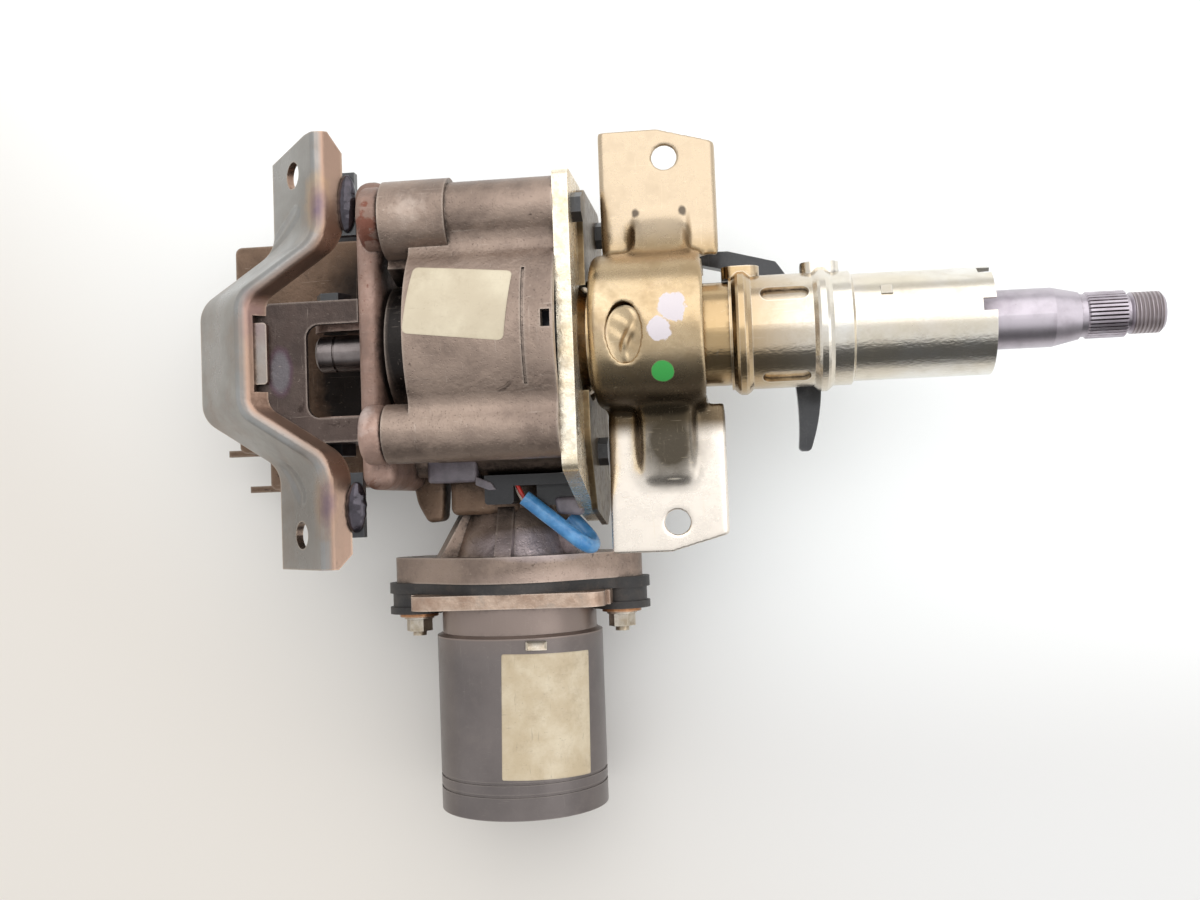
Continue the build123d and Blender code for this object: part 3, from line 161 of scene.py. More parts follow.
def buildScratches():
    # fine crossing lines of handling wear, in three directions
    tree, start, end = newGroup("scratches", {"Scale": 90.0, "Amount": 0.5})
    place = objectPlace(tree)
    masks = []
    for turn, stretch in (((0.3, 0.2, 0.5), (1, 22, 9)), ((0.9, 0.4, 2.1), (19, 1, 8)),
                          ((0.2, 1.1, 1.2), (8, 17, 1))):
        mapping = addNode(tree, "ShaderNodeMapping", {"Vector": place, "Rotation": turn, "Scale": stretch})
        noise = noiseOf(tree, mapping.outputs[0], start["Scale"], 2.0, Distortion=0.7)
        masks.append(ramp(tree, noise, 0.68, 0.76))
    every = mathOf(tree, "MAXIMUM", mathOf(tree, "MAXIMUM", masks[0], masks[1]), masks[2])
    tree.links.new(mathOf(tree, "MULTIPLY", every, start["Amount"]), end["Mask"])


def buildGrimeAndShade():
    # darkening in corners and narrow gaps, from ambient occlusion broken up by noise: dirt, and painted shade where
    # shade falls
    tree, start, end = newGroup("grimeAndShade", {"Reach": 0.006, "Amount": 0.8})
    openness = addNode(tree, "ShaderNodeAmbientOcclusion", {"Distance": start["Reach"]}, samples=6)
    uneven = ramp(tree, noiseOf(tree, objectPlace(tree), 340.0, 5.0, Roughness=0.7), 0.3, 0.7, -0.22, 0.22)
    shaded = mathOf(tree, "ADD", openness.outputs["AO"], uneven)
    tree.links.new(ramp(tree, shaded, 0.72, 0.3, top=start["Amount"]), end["Mask"])


def buildCrease():
    # a soft line between two places, 1 on the line and 0 at Width from it
    tree, start, end = newGroup("crease", {"From": (0.0, 0.0, 0.0), "To": (0.0, 0.0, 0.0), "Width": 0.004})
    run = vectorOf(tree, "SUBTRACT", start["To"], start["From"])
    away = vectorOf(tree, "SUBTRACT", objectPlace(tree), start["From"])
    share = mathOf(tree, "DIVIDE", vectorOf(tree, "DOT_PRODUCT", away, run, "Value"),
                   vectorOf(tree, "DOT_PRODUCT", run, run, "Value"), use_clamp=True)
    nearest = addNode(tree, "ShaderNodeVectorMath", {0: run, 3: share}, operation="SCALE")
    off = vectorOf(tree, "DISTANCE", away, nearest.outputs[0], "Value")
    tree.links.new(ramp(tree, off, start["Width"], 0.0, kind="SMOOTHSTEP"), end["Mask"])


def buildBand():
    # 0 below Low and 1 above High, by the place along one direction
    tree, start, end = newGroup("band", {"Along": (1.0, 0.0, 0.0), "Low": 0.0, "High": 0.01})
    along = vectorOf(tree, "DOT_PRODUCT", objectPlace(tree), start["Along"], "Value")
    tree.links.new(ramp(tree, along, start["Low"], start["High"], kind="SMOOTHSTEP"), end["Mask"])


for buildGroup in (buildBlotches, buildPits, buildEdges, buildSpot, buildScratches, buildGrimeAndShade, buildCrease,
                   buildBand):
    buildGroup()


def useGroup(tree, name, output="Mask", **values):
    node = addNode(tree, "ShaderNodeGroup", node_tree=groups[name])
    for label, value in values.items():
        node.inputs[label].default_value = value
    return node.outputs[output]


def mixColor(tree, mask, under, over):
    # each colour is a socket, a linear colour or three picture values
    node = addNode(tree, "ShaderNodeMix", data_type="RGBA", blend_type="MIX")
    for socket, value in ((node.inputs[0], mask), (node.inputs[6], under), (node.inputs[7], over)):
        if isinstance(value, bpy.types.NodeSocket):
            tree.links.new(value, socket)
        else:
            socket.default_value = linear(*value) if len(value) == 3 else value
    return node.outputs[2]


def cover(tree, tone, mask, share, color):
    # a colour laid over the tone where the mask is, at most to the given share
    return mixColor(tree, ramp(tree, mask, 0.0, 1.0, 0.0, share), tone, color)


def placeOf(*lengths):
    # millimetres from the column's axis to a place in the frame
    x, y, z = lengths
    return (x * mm, y * mm, z * mm + columnZ)


def patchMask(tree, place, stretch, size, ragged, soft, share):
    # where a patch of paint, rust, heat or shade lies, up to its share
    mask = useGroup(tree, "spot", Place=placeOf(*place), Stretch=stretch, Size=size * mm, Ragged=ragged, Soft=soft)
    return ramp(tree, mask, 0.0, 1.0, 0.0, share)


def addPatches(tree, tone, patches):
    for *shape, color in patches:
        tone = mixColor(tree, patchMask(tree, *shape), tone, color)
    return tone


def addZones(tree, tone, zones):
    # colours that set in along a direction: along, low, high, share, colour
    for along, low, high, share, color in zones:
        tone = cover(tree, tone, useGroup(tree, "band", Along=along, Low=low * mm, High=high * mm), share, color)
    return tone


def startMaterial(name, metallic=0.0, specular=0.5, coat=0.0):
    material = bpy.data.materials.new(name)
    material.use_nodes = True
    tree = material.node_tree
    shader = tree.nodes["Principled BSDF"]
    for label, value in (("Metallic", metallic), ("Specular IOR Level", specular), ("Coat Weight", coat),
                         ("Coat Roughness", 0.1)):
        shader.inputs[label].default_value = value
    return material, tree, shader


def setSurface(tree, shader, tone, mask, rough):
    tree.links.new(tone, shader.inputs["Base Color"])
    tree.links.new(ramp(tree, mask, 0.0, 1.0, *rough), shader.inputs["Roughness"])


def relief(tree, shader, height, depth, strength=1.0, under=None):
    # adds bumps on those made before: depth in metres at full height
    bump = addNode(tree, "ShaderNodeBump", {"Height": height, "Strength": strength, "Distance": depth})
    if under is not None:
        tree.links.new(under, bump.inputs["Normal"])
    tree.links.new(bump.outputs["Normal"], shader.inputs["Normal"])
    return bump.outputs["Normal"]


# dark tones for corners and gaps: dirt, and painted shade
grimeAndShadeTones = {"cast": (30, 25, 22), "plated": (58, 40, 28), "turned": (70, 56, 50), "paint": (34, 30, 28)}


def castSkin(name, look):
    # sand-cast metal: three tones, dark pores, stains, brighter worn corners
    material, tree, shader = startMaterial(name, metallic=look["metallic"])
    broad = useGroup(tree, "blotches", Scale=look["broad"], Low=0.36, High=0.66)
    fine = useGroup(tree, "blotches", Scale=look["fine"], Low=0.35, High=0.7, Roughness=0.75)
    stain = useGroup(tree, "blotches", Scale=look["stainScale"], Low=look["stainFrom"],
                     High=look["stainFrom"] + 0.07, Roughness=0.7, Distortion=0.5)
    rare = useGroup(tree, "blotches", Scale=look["broad"] * 1.7, Low=0.42, High=0.62)
    pore = mathOf(tree, "MULTIPLY", useGroup(tree, "pits", "Pore", Scale=look["pores"], Size=0.2),
                  ramp(tree, rare, 0.0, 1.0, 0.1, 1.0))
    tone = mixColor(tree, broad, look["dark"], look["light"])
    tone = cover(tree, tone, fine, 0.4, look["dust"])
    tone = cover(tree, tone, stain, 0.8, look["stain"])
    tone = cover(tree, tone, pore, 0.55, look["stain"])
    tone = addPatches(tree, tone, look["patches"])
    tone = cover(tree, tone, useGroup(tree, "edges", Radius=0.0016), 0.4, look["edge"])
    tone = mixColor(tree, useGroup(tree, "scratches", Scale=60.0, Amount=0.25), tone, look["edge"])
    tone = mixColor(tree, useGroup(tree, "grimeAndShade", Reach=0.009, Amount=0.85), tone, grimeAndShadeTones["cast"])
    setSurface(tree, shader, tone, fine, look["rough"])
    skin = relief(tree, shader, broad, 0.0012, 0.35)
    height = useGroup(tree, "pits", "Height", Scale=look["pores"], Size=0.24, Grain=0.5)
    relief(tree, shader, height, 0.0003, 0.55, skin)
    return material


# a patch is place, stretch, size, ragged edge, soft edge, share, colour; a zone is along, low, high, share, colour;
# lengths are in mm and colours are picture values
castLooks = {
    "castAluminium": {
        "metallic": 0.7, "broad": 26.0, "fine": 140.0, "pores": 900.0, "rough": (0.34, 0.5), "dark": (116, 100, 90),
        "light": (154, 135, 122), "dust": (166, 146, 131), "stain": (64, 52, 45), "stainScale": 75.0,
        "stainFrom": 0.64, "edge": (194, 180, 168),
        "patches": (
            # painted shadow: a dark strip along the gap between the housing's left side and the casting
            ((-103.6, 4, 40), (5.2, 1, 0.6), 29.0, 0.12, 0.1, 0.92, (34, 28, 26)),
            ((-96, 50, 44), (1, 1, 0.6), 9.0, 1.6, 0.7, 0.35, (204, 188, 176)),
            # painted shade: the rim at the housing's left side darkened
            ((-106, 3, 12), (1, 0.2, 0.2), 6.4, 0.1, 0.3, 0.92, (26, 22, 20)),
            ((-62, -82, -25), (0.35, 1.3, 0.4), 11.0, 0.2, 0.5, 0.85, (192, 178, 180)),
            ((-62, -96, -30), (0.25, 1.4, 0.3), 9.0, 0.2, 0.4, 0.5, (190, 168, 156)),
        )},
    "rustyCasting": {
        "metallic": 0.5, "broad": 40.0, "fine": 180.0, "pores": 700.0, "rough": (0.4, 0.62), "dark": (128, 104, 93),
        "light": (172, 143, 130), "dust": (156, 124, 108), "stain": (104, 66, 48), "stainScale": 60.0,
        "stainFrom": 0.6, "edge": (200, 184, 172),
        "patches": (
            ((-116, 42, 40), (1, 0.8, 0.5), 7.0, 3.0, 0.3, 0.85, (116, 64, 47)),
            ((-116, 21, 42), (1, 0.5, 0.5), 6.8, 3.4, 0.3, 0.88, (110, 61, 46)),
            ((-116, 4, 40), (1, 0.7, 0.5), 6.2, 3.2, 0.3, 0.88, (106, 60, 46)),
            ((-116, -28, 38), (1, 0.5, 0.5), 6.0, 1.6, 0.8, 0.6, (206, 192, 186)),
        )},
    # painted shade: the channel's tones are darkened for the shadow that lies on it; its two patches are a weld
    # mark
    "shadedChannelSteel": {
        "metallic": 0.7, "broad": 34.0, "fine": 120.0, "pores": 1600.0, "rough": (0.34, 0.5), "dark": (64, 54, 50),
        "light": (85, 72, 66), "dust": (74, 60, 55), "stain": (48, 36, 31), "stainScale": 90.0, "stainFrom": 0.6,
        "edge": (196, 180, 168),
        "patches": (
            ((-157.6, -7.6, 11.6), (1.9, 1, 0.4), 11.5, 0.15, 0.25, 0.7, (84, 62, 74)),
            ((-157.6, -7.6, 11.6), (2.0, 1, 0.4), 9.4, 0.15, 0.3, 0.85, (104, 100, 102)),
        )},
    "unitCasting": {
        "metallic": 0.5, "broad": 30.0, "fine": 160.0, "pores": 900.0, "rough": (0.42, 0.6), "dark": (94, 73, 57),
        "light": (126, 101, 82), "dust": (134, 110, 90), "stain": (50, 38, 30), "stainScale": 70.0,
        "stainFrom": 0.63, "edge": (196, 178, 160),
        "patches": (
            # painted shade: the two dark patches are the parts of the unit that lie in shadow under the strap and
            # the channel
            ((-138, -8, -48), (1, 0.8, 0.5), 26.0, 0.3, 0.25, 0.94, (34, 30, 28)),
            ((-136, 34, -48), (1, 1, 0.5), 24.0, 0.3, 0.6, 0.9, (40, 35, 32)),
        )},
}


def platedSkin(name, look):
    # zinc plate: pale and golden patches, tarnish and painted shade in the corners, scratches, slight ripple of
    # pressed sheet
    material, tree, shader = startMaterial(name, metallic=look["metallic"])
    broad = useGroup(tree, "blotches", Scale=look["broad"], Low=0.35, High=0.65)
    fine = useGroup(tree, "blotches", Scale=look["fine"], Low=0.42, High=0.72, Roughness=0.7)
    sheen = useGroup(tree, "blotches", Scale=look["broad"] * 2.3, Low=0.5, High=0.68, Distortion=1.2)
    tone = mixColor(tree, broad, look["pale"], look["gold"])
    tone = cover(tree, tone, sheen, look["iridescence"], look["tint"])
    tone = cover(tree, tone, fine, 0.35, look["tarnish"])
    tone = addZones(tree, tone, look["zones"])
    # painted shade patches
    tone = addPatches(tree, tone, look["paintedShades"])
    tone = cover(tree, tone, useGroup(tree, "edges", Radius=0.001), 0.4, look["edge"])
    tone = mixColor(tree, useGroup(tree, "scratches", Scale=70.0, Amount=look["scratch"]), tone, look["edge"])
    tone = mixColor(tree, useGroup(tree, "grimeAndShade", Reach=0.003, Amount=look["grimeAndShade"]), tone, grimeAndShadeTones["plated"])
    covered = None  # where paint and the painted highlight hide the metal
    for *shape, color in look["paint"]:
        paint = patchMask(tree, *shape)
        tone = mixColor(tree, paint, tone, color)
        covered = paint if covered is None else mathOf(tree, "MAXIMUM", covered, paint)
    tree.links.new(tone, shader.inputs["Base Color"])
    gloss = ramp(tree, fine, 0.0, 1.0, *look["rough"])
    if covered is not None:
        tree.links.new(ramp(tree, covered, 0.0, 1.0, look["metallic"], 0.0), shader.inputs["Metallic"])
        gloss = mathOf(tree, "MAXIMUM", gloss, mathOf(tree, "MULTIPLY", covered, 0.5))
    tree.links.new(gloss, shader.inputs["Roughness"])
    skin = relief(tree, shader, broad, 0.0008, look["ripple"])
    if "hammer" in look:
        low, high = look["hammer"]
        mapping = addNode(tree, "ShaderNodeMapping", {"Vector": objectPlace(tree), "Scale": (1.0, 1.8, 1.8)})
        dents = noiseOf(tree, mapping.outputs[0], 560.0, 2.0)
        under = useGroup(tree, "band", Along=(0, -1, 0), Low=low * mm, High=high * mm)
        skin = relief(tree, shader, mathOf(tree, "MULTIPLY", dents, under), 0.0003, 0.3, skin)
    height = useGroup(tree, "pits", "Height", Scale=1500.0, Size=0.2, Grain=0.6)
    relief(tree, shader, height, 0.00012, look["speckle"], skin)
    return material


platedBase = {"zones": (), "paintedShades": (), "paint": ()}
platedLooks = {
    "zincBracket": {
        "metallic": 0.95, "broad": 15.0, "fine": 110.0, "rough": (0.26, 0.38), "ripple": 0.14, "iridescence": 0.22,
        "scratch": 0.3, "grimeAndShade": 0.75, "speckle": 0.3, "pale": (206, 185, 152), "gold": (178, 153, 117),
        "tint": (188, 156, 146), "tarnish": (134, 110, 80), "edge": (222, 204, 174),
        "zones": (
            ((0, 1, 0), 14, 26, 0.6, (154, 130, 96)),
            ((0, 1, 0), 34, 46, 0.9, (190, 172, 148)),
            # painted shade: the saddle's lower side, towards -Y, darkened; the next zone brings the lower ear back
            # to pale
            ((0, -1, 0), 11, 24, 0.95, (92, 79, 62)),
            ((0, -1, 0), 33, 41, 0.95, (238, 228, 216)),
        ),
        "paintedShades": (
            # painted shade: dark under the lower rib, and thin darker lines along the sides of the upper rib
            ((-1.5, -42, 2), (1, 0.85, 0.3), 18.0, 0.2, 0.6, 0.95, (76, 67, 53)),
            ((-13.5, 43, 0), (1, 0.18, 0.2), 1.7, 0.2, 0.6, 0.8, (112, 90, 62)),
            ((9.0, 43, 0), (1, 0.18, 0.2), 1.7, 0.2, 0.6, 0.8, (112, 90, 62)),
        ),
        "paint": (
            ((2.4, 7.6, 31.3), (1, 0.92, 0.6), 5.6, 1.3, 0.12, 0.88, (214, 206, 212)),
            ((-2.4, -0.6, 31.5), (1, 0.95, 0.6), 5.0, 1.1, 0.12, 0.9, (218, 210, 216)),
            ((-2.0, -16.2, 24.6), (1, 1, 0.7), 4.5, 0.12, 0.08, 0.97, (58, 168, 78)),
            ((-12.4, 51.4, -4), (1, 0.8, 1), 2.0, 0.9, 0.4, 0.85, (70, 56, 40)),
            ((6.7, 51.4, -4), (1, 0.8, 1), 2.0, 0.9, 0.4, 0.85, (70, 56, 40)),
            # painted highlight: a thin pale line at the toe of the lower rib, laid on as paint so that it is not
            # metal
            ((-0.5, -56.6, -4), (0.15, 1, 0.3), 0.8, 0.1, 0.4, 0.9, (236, 226, 206)),
        )},
    "zincTube": {
        "metallic": 1.0, "broad": 20.0, "fine": 120.0, "rough": (0.2, 0.28), "ripple": 0.08, "iridescence": 0.2,
        "scratch": 0.12, "grimeAndShade": 0.9, "speckle": 0.1, "hammer": (2, 11), "pale": (230, 228, 224),
        "gold": (218, 209, 192), "tint": (220, 206, 198), "tarnish": (190, 178, 158), "edge": (242, 238, 230),
        "zones": (
            ((-1, 0, 0), -70, -22, 0.95, (176, 148, 106)),
        )},
    "zincPlate": {
        "metallic": 0.85, "broad": 60.0, "fine": 320.0, "rough": (0.26, 0.42), "ripple": 0.2, "iridescence": 0.4,
        "scratch": 0.3, "grimeAndShade": 0.8, "speckle": 0.4, "pale": (252, 244, 226), "gold": (230, 212, 180),
        "tint": (222, 220, 200), "tarnish": (140, 118, 84), "edge": (250, 244, 228)},
    "zincBacking": {
        "metallic": 0.85, "broad": 60.0, "fine": 320.0, "rough": (0.3, 0.46), "ripple": 0.2, "iridescence": 0.3,
        "scratch": 0.2, "grimeAndShade": 0.85, "speckle": 0.4, "pale": (122, 104, 78), "gold": (88, 70, 46),
        "tint": (94, 88, 70), "tarnish": (66, 54, 38), "edge": (196, 178, 146)},
    "studZinc": {
        "metallic": 0.9, "broad": 90.0, "fine": 320.0, "rough": (0.28, 0.42), "ripple": 0.1, "iridescence": 0.2,
        "scratch": 0.2, "grimeAndShade": 0.8, "speckle": 0.3, "pale": (196, 188, 176), "gold": (164, 148, 124),
        "tint": (170, 150, 140), "tarnish": (90, 76, 60), "edge": (222, 214, 200),
        "zones": (
            ((0, 1, 0), -112.6, -112.2, 0.9, (168, 112, 66)),
        )},
    "motorPlateSteel": {
        "metallic": 0.8, "broad": 70.0, "fine": 230.0, "rough": (0.34, 0.5), "ripple": 0.3, "iridescence": 0.35,
        "scratch": 0.3, "grimeAndShade": 0.8, "speckle": 0.6, "pale": (196, 174, 156), "gold": (162, 136, 118),
        "tint": (146, 138, 130), "tarnish": (120, 88, 66), "edge": (226, 212, 198)},
}


def turnedSteel(name, look):
    # lathe rings along one axis, faint rust specks
    material, tree, shader = startMaterial(name, metallic=1.0)
    place = objectPlace(tree)
    rings = addNode(tree, "ShaderNodeTexWave", {
        "Vector": place, "Scale": look["rings"], "Distortion": 1.5, "Detail": 3.0},
        wave_type="BANDS", bands_direction=look["axis"]).outputs["Fac"]
    broad = useGroup(tree, "blotches", Scale=70.0, Low=0.38, High=0.7)
    speck = useGroup(tree, "blotches", Scale=420.0, Low=0.66, High=0.74, Roughness=0.8)
    tone = mixColor(tree, broad, look["light"], look["dark"])
    tone = cover(tree, tone, speck, 0.6, look["speck"])
    tone = mixColor(tree, useGroup(tree, "grimeAndShade", Reach=0.002, Amount=0.8), tone, grimeAndShadeTones["turned"])
    skin = relief(tree, shader, rings, 0.00005, 0.5)
    if "thread" in look:
        low, high = look["thread"]
        inThread = mathOf(tree, "MULTIPLY", useGroup(tree, "band", Low=low * mm, High=(low + 0.3) * mm),
                          useGroup(tree, "band", Low=high * mm, High=(high - 0.3) * mm))
        turns = addNode(tree, "ShaderNodeTexWave", {"Vector": place, "Scale": 210.0},  # one wave each 1.5 mm
                        wave_type="BANDS", bands_direction="X").outputs["Fac"]
        crest = mathOf(tree, "MULTIPLY", inThread, turns)
        tone = cover(tree, tone, inThread, 0.35, look["threadTone"])
        tone = cover(tree, tone, mathOf(tree, "SUBTRACT", inThread, crest), 0.6, look["threadGroove"])
        skin = relief(tree, shader, crest, 0.0008, 1.0, skin)
    setSurface(tree, shader, tone, rings, look["rough"])
    return material


turnedBase = {"axis": "X", "rings": 900.0}
turnedLooks = {
    "turnedShaft": {
        "rough": (0.3, 0.42), "light": (188, 180, 187), "dark": (162, 153, 160), "speck": (104, 90, 86),
        "thread": (176.5, 187.5), "threadTone": (176, 158, 152), "threadGroove": (92, 78, 74)},
    # painted shade: a darker copy of the shaft steel for the output shaft, which lies in shadow
    "shadedOutputSteel": {
        "rough": (0.26, 0.38), "light": (132, 124, 122), "dark": (104, 96, 94), "speck": (84, 70, 64)},
    "turnedAcross": {
        "axis": "Y", "rough": (0.22, 0.36), "light": (200, 196, 194), "dark": (160, 154, 152),
        "speck": (120, 96, 84)},
    "bearingSteel": {
        "rings": 500.0, "rough": (0.12, 0.2), "light": (216, 216, 220), "dark": (190, 190, 196),
        "speck": (140, 132, 126)},
}


def paintSkin(name, look):
    # satin paint with an orange-peel texture, dust and chipped corners
    material, tree, shader = startMaterial(name, metallic=look["metallic"], coat=look["coat"])
    broad = useGroup(tree, "blotches", Scale=look["broad"], Low=0.35, High=0.68)
    dust = useGroup(tree, "blotches", Scale=look["dustScale"], Low=0.5, High=0.72, Roughness=0.75)
    tone = mixColor(tree, broad, look["dark"], look["light"])
    tone = cover(tree, tone, dust, look["dustCover"], look["dust"])
    tone = addZones(tree, tone, look["zones"])
    tone = mixColor(tree, useGroup(tree, "scratches", Scale=110.0, Amount=look["scratch"]), tone, look["edge"])
    tone = cover(tree, tone, useGroup(tree, "edges", Radius=0.0008), look["chip"], look["edge"])
    tone = mixColor(tree, useGroup(tree, "grimeAndShade", Reach=0.004, Amount=look["grimeAndShade"]), tone, grimeAndShadeTones["paint"])
    skin = None
    for start, end, width in look["creases"]:
        fold = useGroup(tree, "crease", From=placeOf(*start), To=placeOf(*end), Width=width * mm)
        tone = cover(tree, tone, fold, 0.5, look["edge"])
        skin = relief(tree, shader, fold, 0.0006, 1.0, skin)
    setSurface(tree, shader, tone, dust, look["rough"])
    height = useGroup(tree, "pits", "Height", Scale=look["grain"], Size=0.15, Grain=0.7)
    relief(tree, shader, height, 0.0002, look["texture"], skin)
    return material


# what most painted and moulded looks share
paintBase = {"metallic": 0.0, "coat": 0.0, "broad": 90.0, "dustScale": 160.0, "dustCover": 0.3, "scratch": 0.2,
             "chip": 0.2, "grimeAndShade": 0.3, "zones": (), "creases": ()}
paintLooks = {
    "blackPaint": {
        "broad": 60.0, "dark": (27, 27, 30), "light": (42, 43, 47), "dustScale": 120.0, "dust": (112, 110, 108),
        "dustCover": 0.18, "edge": (110, 108, 108), "chip": 0.3, "rough": (0.3, 0.5), "grain": 700.0,
        "texture": 0.3, "coat": 0.2},
    "motorPaint": {
        "metallic": 0.6, "broad": 16.0, "dark": (98, 91, 89), "light": (116, 108, 105), "dustScale": 70.0,
        "dust": (130, 120, 115), "dustCover": 0.35, "edge": (160, 150, 142), "scratch": 0.25, "chip": 0.4,
        "rough": (0.34, 0.46), "grain": 1400.0, "texture": 0.2, "grimeAndShade": 0.5,
        "zones": (
            ((0, 1, 0), -120.6, -119.8, 0.75, (146, 129, 120)),
            ((0, 1, 0), -129, -121, 0.25, (130, 116, 108)),
        )},
    "blackRubber": {
        "broad": 80.0, "dark": (34, 31, 30), "light": (54, 49, 46), "dust": (104, 94, 86), "dustCover": 0.35,
        "edge": (84, 76, 70), "scratch": 0.1, "chip": 0.15, "rough": (0.5, 0.75), "grain": 900.0, "texture": 0.6},
    "blackPlastic": {
        "dark": (20, 20, 22), "light": (33, 32, 35), "dustScale": 200.0, "dust": (86, 82, 82), "dustCover": 0.2,
        "edge": (84, 80, 80), "scratch": 0.12, "rough": (0.32, 0.48), "grain": 1100.0, "texture": 0.35},
    "greyPlastic": {
        "dark": (92, 86, 92), "light": (126, 118, 124), "dust": (150, 142, 140), "edge": (160, 152, 152),
        "chip": 0.4, "rough": (0.35, 0.5), "grain": 900.0, "texture": 0.4},
    "nylon": {
        "broad": 60.0, "dark": (206, 196, 166), "light": (226, 218, 192), "dustScale": 150.0,
        "dust": (170, 150, 110), "edge": (236, 230, 210), "scratch": 0.1, "rough": (0.35, 0.5), "grain": 1000.0,
        "texture": 0.2},
    "copperBars": {
        "metallic": 0.9, "broad": 80.0, "dark": (150, 88, 56), "light": (196, 124, 84), "dustScale": 200.0,
        "dust": (96, 60, 44), "dustCover": 0.4, "edge": (224, 170, 130), "scratch": 0.4, "chip": 0.4,
        "rough": (0.25, 0.4), "grain": 900.0, "texture": 0.2},
    "darkMagnet": {
        "dark": (38, 38, 42), "light": (58, 58, 62), "dustScale": 220.0, "dust": (90, 86, 84), "edge": (84, 84, 88),
        "chip": 0.5, "rough": (0.5, 0.7), "grain": 1400.0, "texture": 0.5},
    "boardGreen": {
        "broad": 120.0, "dark": (18, 70, 44), "light": (26, 92, 58), "dustScale": 260.0, "dust": (120, 120, 96),
        "dustCover": 0.2, "edge": (150, 150, 110), "chip": 0.4, "rough": (0.25, 0.4), "grain": 800.0,
        "texture": 0.3, "coat": 0.4},
    "blueSleeve": {
        "broad": 120.0, "dark": (62, 128, 184), "light": (104, 166, 216), "dustScale": 200.0,
        "dust": (150, 182, 204), "dustCover": 0.5, "edge": (150, 184, 206), "scratch": 0.4, "rough": (0.32, 0.5),
        "grain": 420.0, "texture": 0.9, "coat": 0.3},
    "redLead": {
        "dark": (168, 30, 26), "light": (200, 46, 38), "dust": (120, 70, 60), "dustCover": 0.25,
        "edge": (210, 100, 90), "scratch": 0.1, "chip": 0.1, "rough": (0.3, 0.45), "grain": 700.0, "texture": 0.2},
    "whiteLead": {
        "dark": (196, 180, 166), "light": (226, 212, 198), "dust": (150, 120, 104), "dustCover": 0.4,
        "edge": (236, 226, 216), "scratch": 0.1, "chip": 0.1, "rough": (0.3, 0.45), "grain": 700.0, "texture": 0.2},
    "weldMetal": {
        "metallic": 0.8, "broad": 120.0, "dark": (40, 36, 42), "light": (74, 68, 76), "dustScale": 180.0,
        "dust": (104, 88, 96), "dustCover": 0.4, "edge": (140, 132, 140), "scratch": 0.1, "chip": 0.3,
        "rough": (0.16, 0.34), "grain": 500.0, "texture": 0.4, "coat": 0.5},
    "housingSticker": {
        "broad": 40.0, "dark": (190, 176, 150), "light": (208, 196, 170), "dustScale": 110.0,
        "dust": (160, 142, 118), "edge": (132, 114, 92), "scratch": 0.25, "chip": 0.5, "rough": (0.36, 0.5),
        "grain": 1200.0, "texture": 0.15, "coat": 0.2},
    "motorSticker": {
        "broad": 60.0, "dark": (186, 168, 138), "light": (206, 192, 166), "dustScale": 90.0,
        "dust": (150, 130, 104), "dustCover": 0.4, "edge": (116, 104, 96), "scratch": 0.5, "chip": 0.6,
        "rough": (0.36, 0.52), "grain": 1200.0, "texture": 0.2, "coat": 0.2,
        "creases": (
            ((-52, -128, -12), (-48, -140, -14), 1.6),
            ((-58, -131, -9), (-44, -136, -18), 1.2),
            ((-50, -124, -13), (-55, -135, -10), 1.3),
        )},
}

finishes = {}
for skin, base, looks in ((castSkin, {}, castLooks), (platedSkin, platedBase, platedLooks),
                          (turnedSteel, turnedBase, turnedLooks), (paintSkin, paintBase, paintLooks)):
    for name, look in looks.items():
        finishes[name] = skin(name, {**base, **look})

strapLook = {
    "grey": (160, 159, 157), "shade": (141, 139, 135), "lip": (164, 136, 119), "warm": (150, 126, 108),
    "speck": (84, 72, 66), "edge": (220, 198, 176), "grimeAndShade": (34, 26, 22), "rough": (0.26, 0.36),
    "heatTintAndShade": (
        ((-139, 60, 12), (1.8, 0.8, 0.7), 12.0, 0.5, 0.7, 0.6, (196, 160, 116)),
        ((-138, 58, 14), (2.0, 0.9, 0.7), 9.5, 0.6, 0.7, 0.75, (98, 84, 110)),
        ((-139, -62, 12), (1.9, 0.7, 0.7), 12.0, 0.5, 0.7, 0.6, (192, 152, 112)),
        ((-137.5, -62, 14), (2.2, 0.7, 0.7), 9.0, 0.6, 0.7, 0.75, (104, 82, 108)),
        ((-166, 14, 16), (1.6, 0.8, 0.7), 12.0, 0.9, 0.8, 0.4, (128, 100, 110)),
        # painted shade: a darker grey patch low on the strap, by the lower dent
        ((-150, -66, 4), (1, 0.6, 0.5), 26.0, 0.3, 0.8, 0.6, (98, 92, 86)),
    ),
    # folds at the bends: from, to, width, depth
    "folds": (
        ((-172.3, 43.5, -16.3), (-149.9, 57.8, 6.1), 4.5, 0.0016),
        ((-162.3, -40.4, -6.3), (-150.9, -57.6, 5.1), 5.5, -0.0018),
    )}


